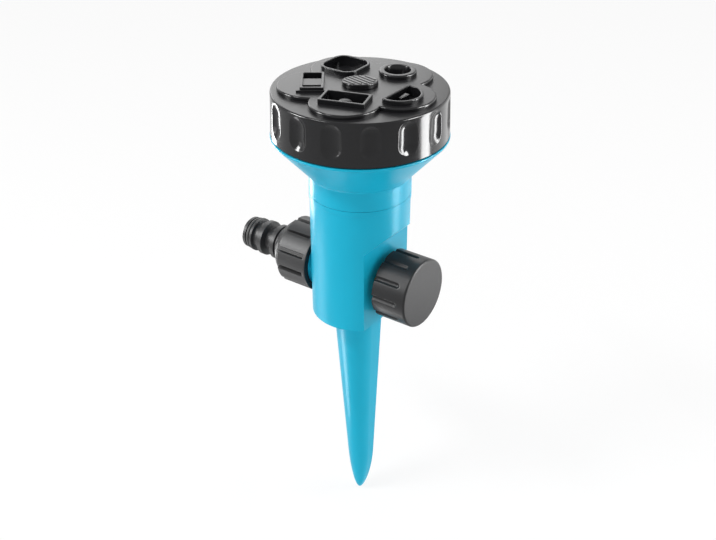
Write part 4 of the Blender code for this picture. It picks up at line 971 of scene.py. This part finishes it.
def softLamp(name, azimuth, elevation, distance, level, width, height, radiance, glossOnly=True):
    data = bpy.data.lights.new(name, "AREA")
    data.shape = "RECTANGLE"
    data.size = width
    data.size_y = height
    data.energy = radiance * math.pi * width * height
    lamp = bpy.data.objects.new(name, data)
    turn, rise = math.radians(azimuth), math.radians(elevation)
    away = Vector((math.cos(rise) * math.cos(turn), math.cos(rise) * math.sin(turn), math.sin(rise)))
    lamp.location = Vector((0, 0, level)) + distance * away
    lamp.visible_camera = False
    lamp.visible_diffuse = not glossOnly
    bpy.context.scene.collection.objects.link(lamp)
    aim(lamp, (0, 0, level))


# place and target in metres, lens and sensor in millimetres
view = dict(place=(0.2849, -0.3969, 0.3069), target=(0.0, 0.0, 0.035556), lens=59.74, sensor=36.0,
            shift=(-0.0029, -0.0402), nearest=0.01, farthest=50.0)


def makeCamera():
    data = bpy.data.cameras.new("photo_camera")
    data.lens = view["lens"]
    data.sensor_width = view["sensor"]
    data.shift_x, data.shift_y = view["shift"]
    data.clip_start, data.clip_end = view["nearest"], view["farthest"]
    camera = bpy.data.objects.new("photo_camera", data)
    camera.location = view["place"]
    bpy.context.scene.collection.objects.link(camera)
    aim(camera, view["target"])
    bpy.context.scene.camera = camera


# everything together

bpy.context.scene.view_settings.view_transform = "Standard"
makeCamera()
makeSky()
for lampName, values in lamps.items():
    softLamp(lampName, **values)
makeFloor()
print("stage ready")

blueShell = dict(base=(0.008, 0.415, 0.605), deep=(0.006, 0.390, 0.575), roughness=0.30, spread=0.04,
                 grain=0.06, specular=0.13)
dialBlack = dict(base=(0.012, 0.012, 0.013), deep=(0.008, 0.008, 0.009), spread=0.03, grain=0.05,
                 specular=0.25, satinTop=0.38)
satin = dict(base=(0.024, 0.024, 0.025), deep=(0.016, 0.016, 0.017), spread=0.05, grain=0.10)

makeDial(mouldedPlastic("dial_gloss_black", roughness=0.14, centre=(0, 0, 0.104), **dialBlack))
makeCover(mouldedPlastic("cover_gloss_black", roughness=0.16, centre=(0, 0, 0.116), **dialBlack))
makeHousing(mouldedPlastic("head_blue_plastic", centre=(0, 0, 0.08), **blueShell))
makeBody(mouldedPlastic("body_blue_plastic", centre=(0, 0, 0.03), **blueShell))
makeSpike(mouldedPlastic("spike_blue_plastic", centre=(0, 0, -0.05), **blueShell))
makeKnob(mouldedPlastic("knob_satin_black", roughness=0.36, specular=0.17, centre=(0.027, 0, 0.02),
                        **satin))
makeConnector(mouldedPlastic("connector_satin_black", roughness=0.44, specular=0.30,
                             centre=(-0.04, 0, 0.02), **satin))
rubberBlack = mouldedPlastic("seal_rubber", base=(0.020, 0.020, 0.020), deep=(0.012, 0.012, 0.012),
                             roughness=0.55, spread=0.08, grain=0.25, centre=(0, 0, 0))
makeRing(rubberBlack)

acetal = mouldedPlastic("inside_acetal", base=(0.78, 0.78, 0.75), deep=(0.70, 0.70, 0.66),
                        roughness=0.35, spread=0.06, grain=0.08, centre=(0, 0, 0.1))
brassAcross = machinedMetal("turned_brass", base=(0.80, 0.56, 0.24), deep=(0.62, 0.42, 0.17),
                            roughness=0.28, alongX=True)
steelUpright = machinedMetal("zinc_steel", base=(0.66, 0.66, 0.67), deep=(0.50, 0.50, 0.52),
                             roughness=0.30, alongX=False)
insideFinishes = (
    (acetal, ("port_disc", "detent_pin")),
    (rubberBlack, ("outlet_seal", "riser_o_ring", "gland_o_ring", "spindle_o_ring", "valve_washer",
                   "inlet_washer")),
    (brassAcross, ("gland_nut", "valve_spindle", "valve_jumper")),
    (steelUpright, ("dial_washer", "dial_screw", "seal_spring", "detent_spring")),
)
for finish, nodeNames in insideFinishes:
    for nodeName in nodeNames:
        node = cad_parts[nodeName]
        node.data.materials.clear()
        node.data.materials.append(finish)
print("finishes given to the inside parts")
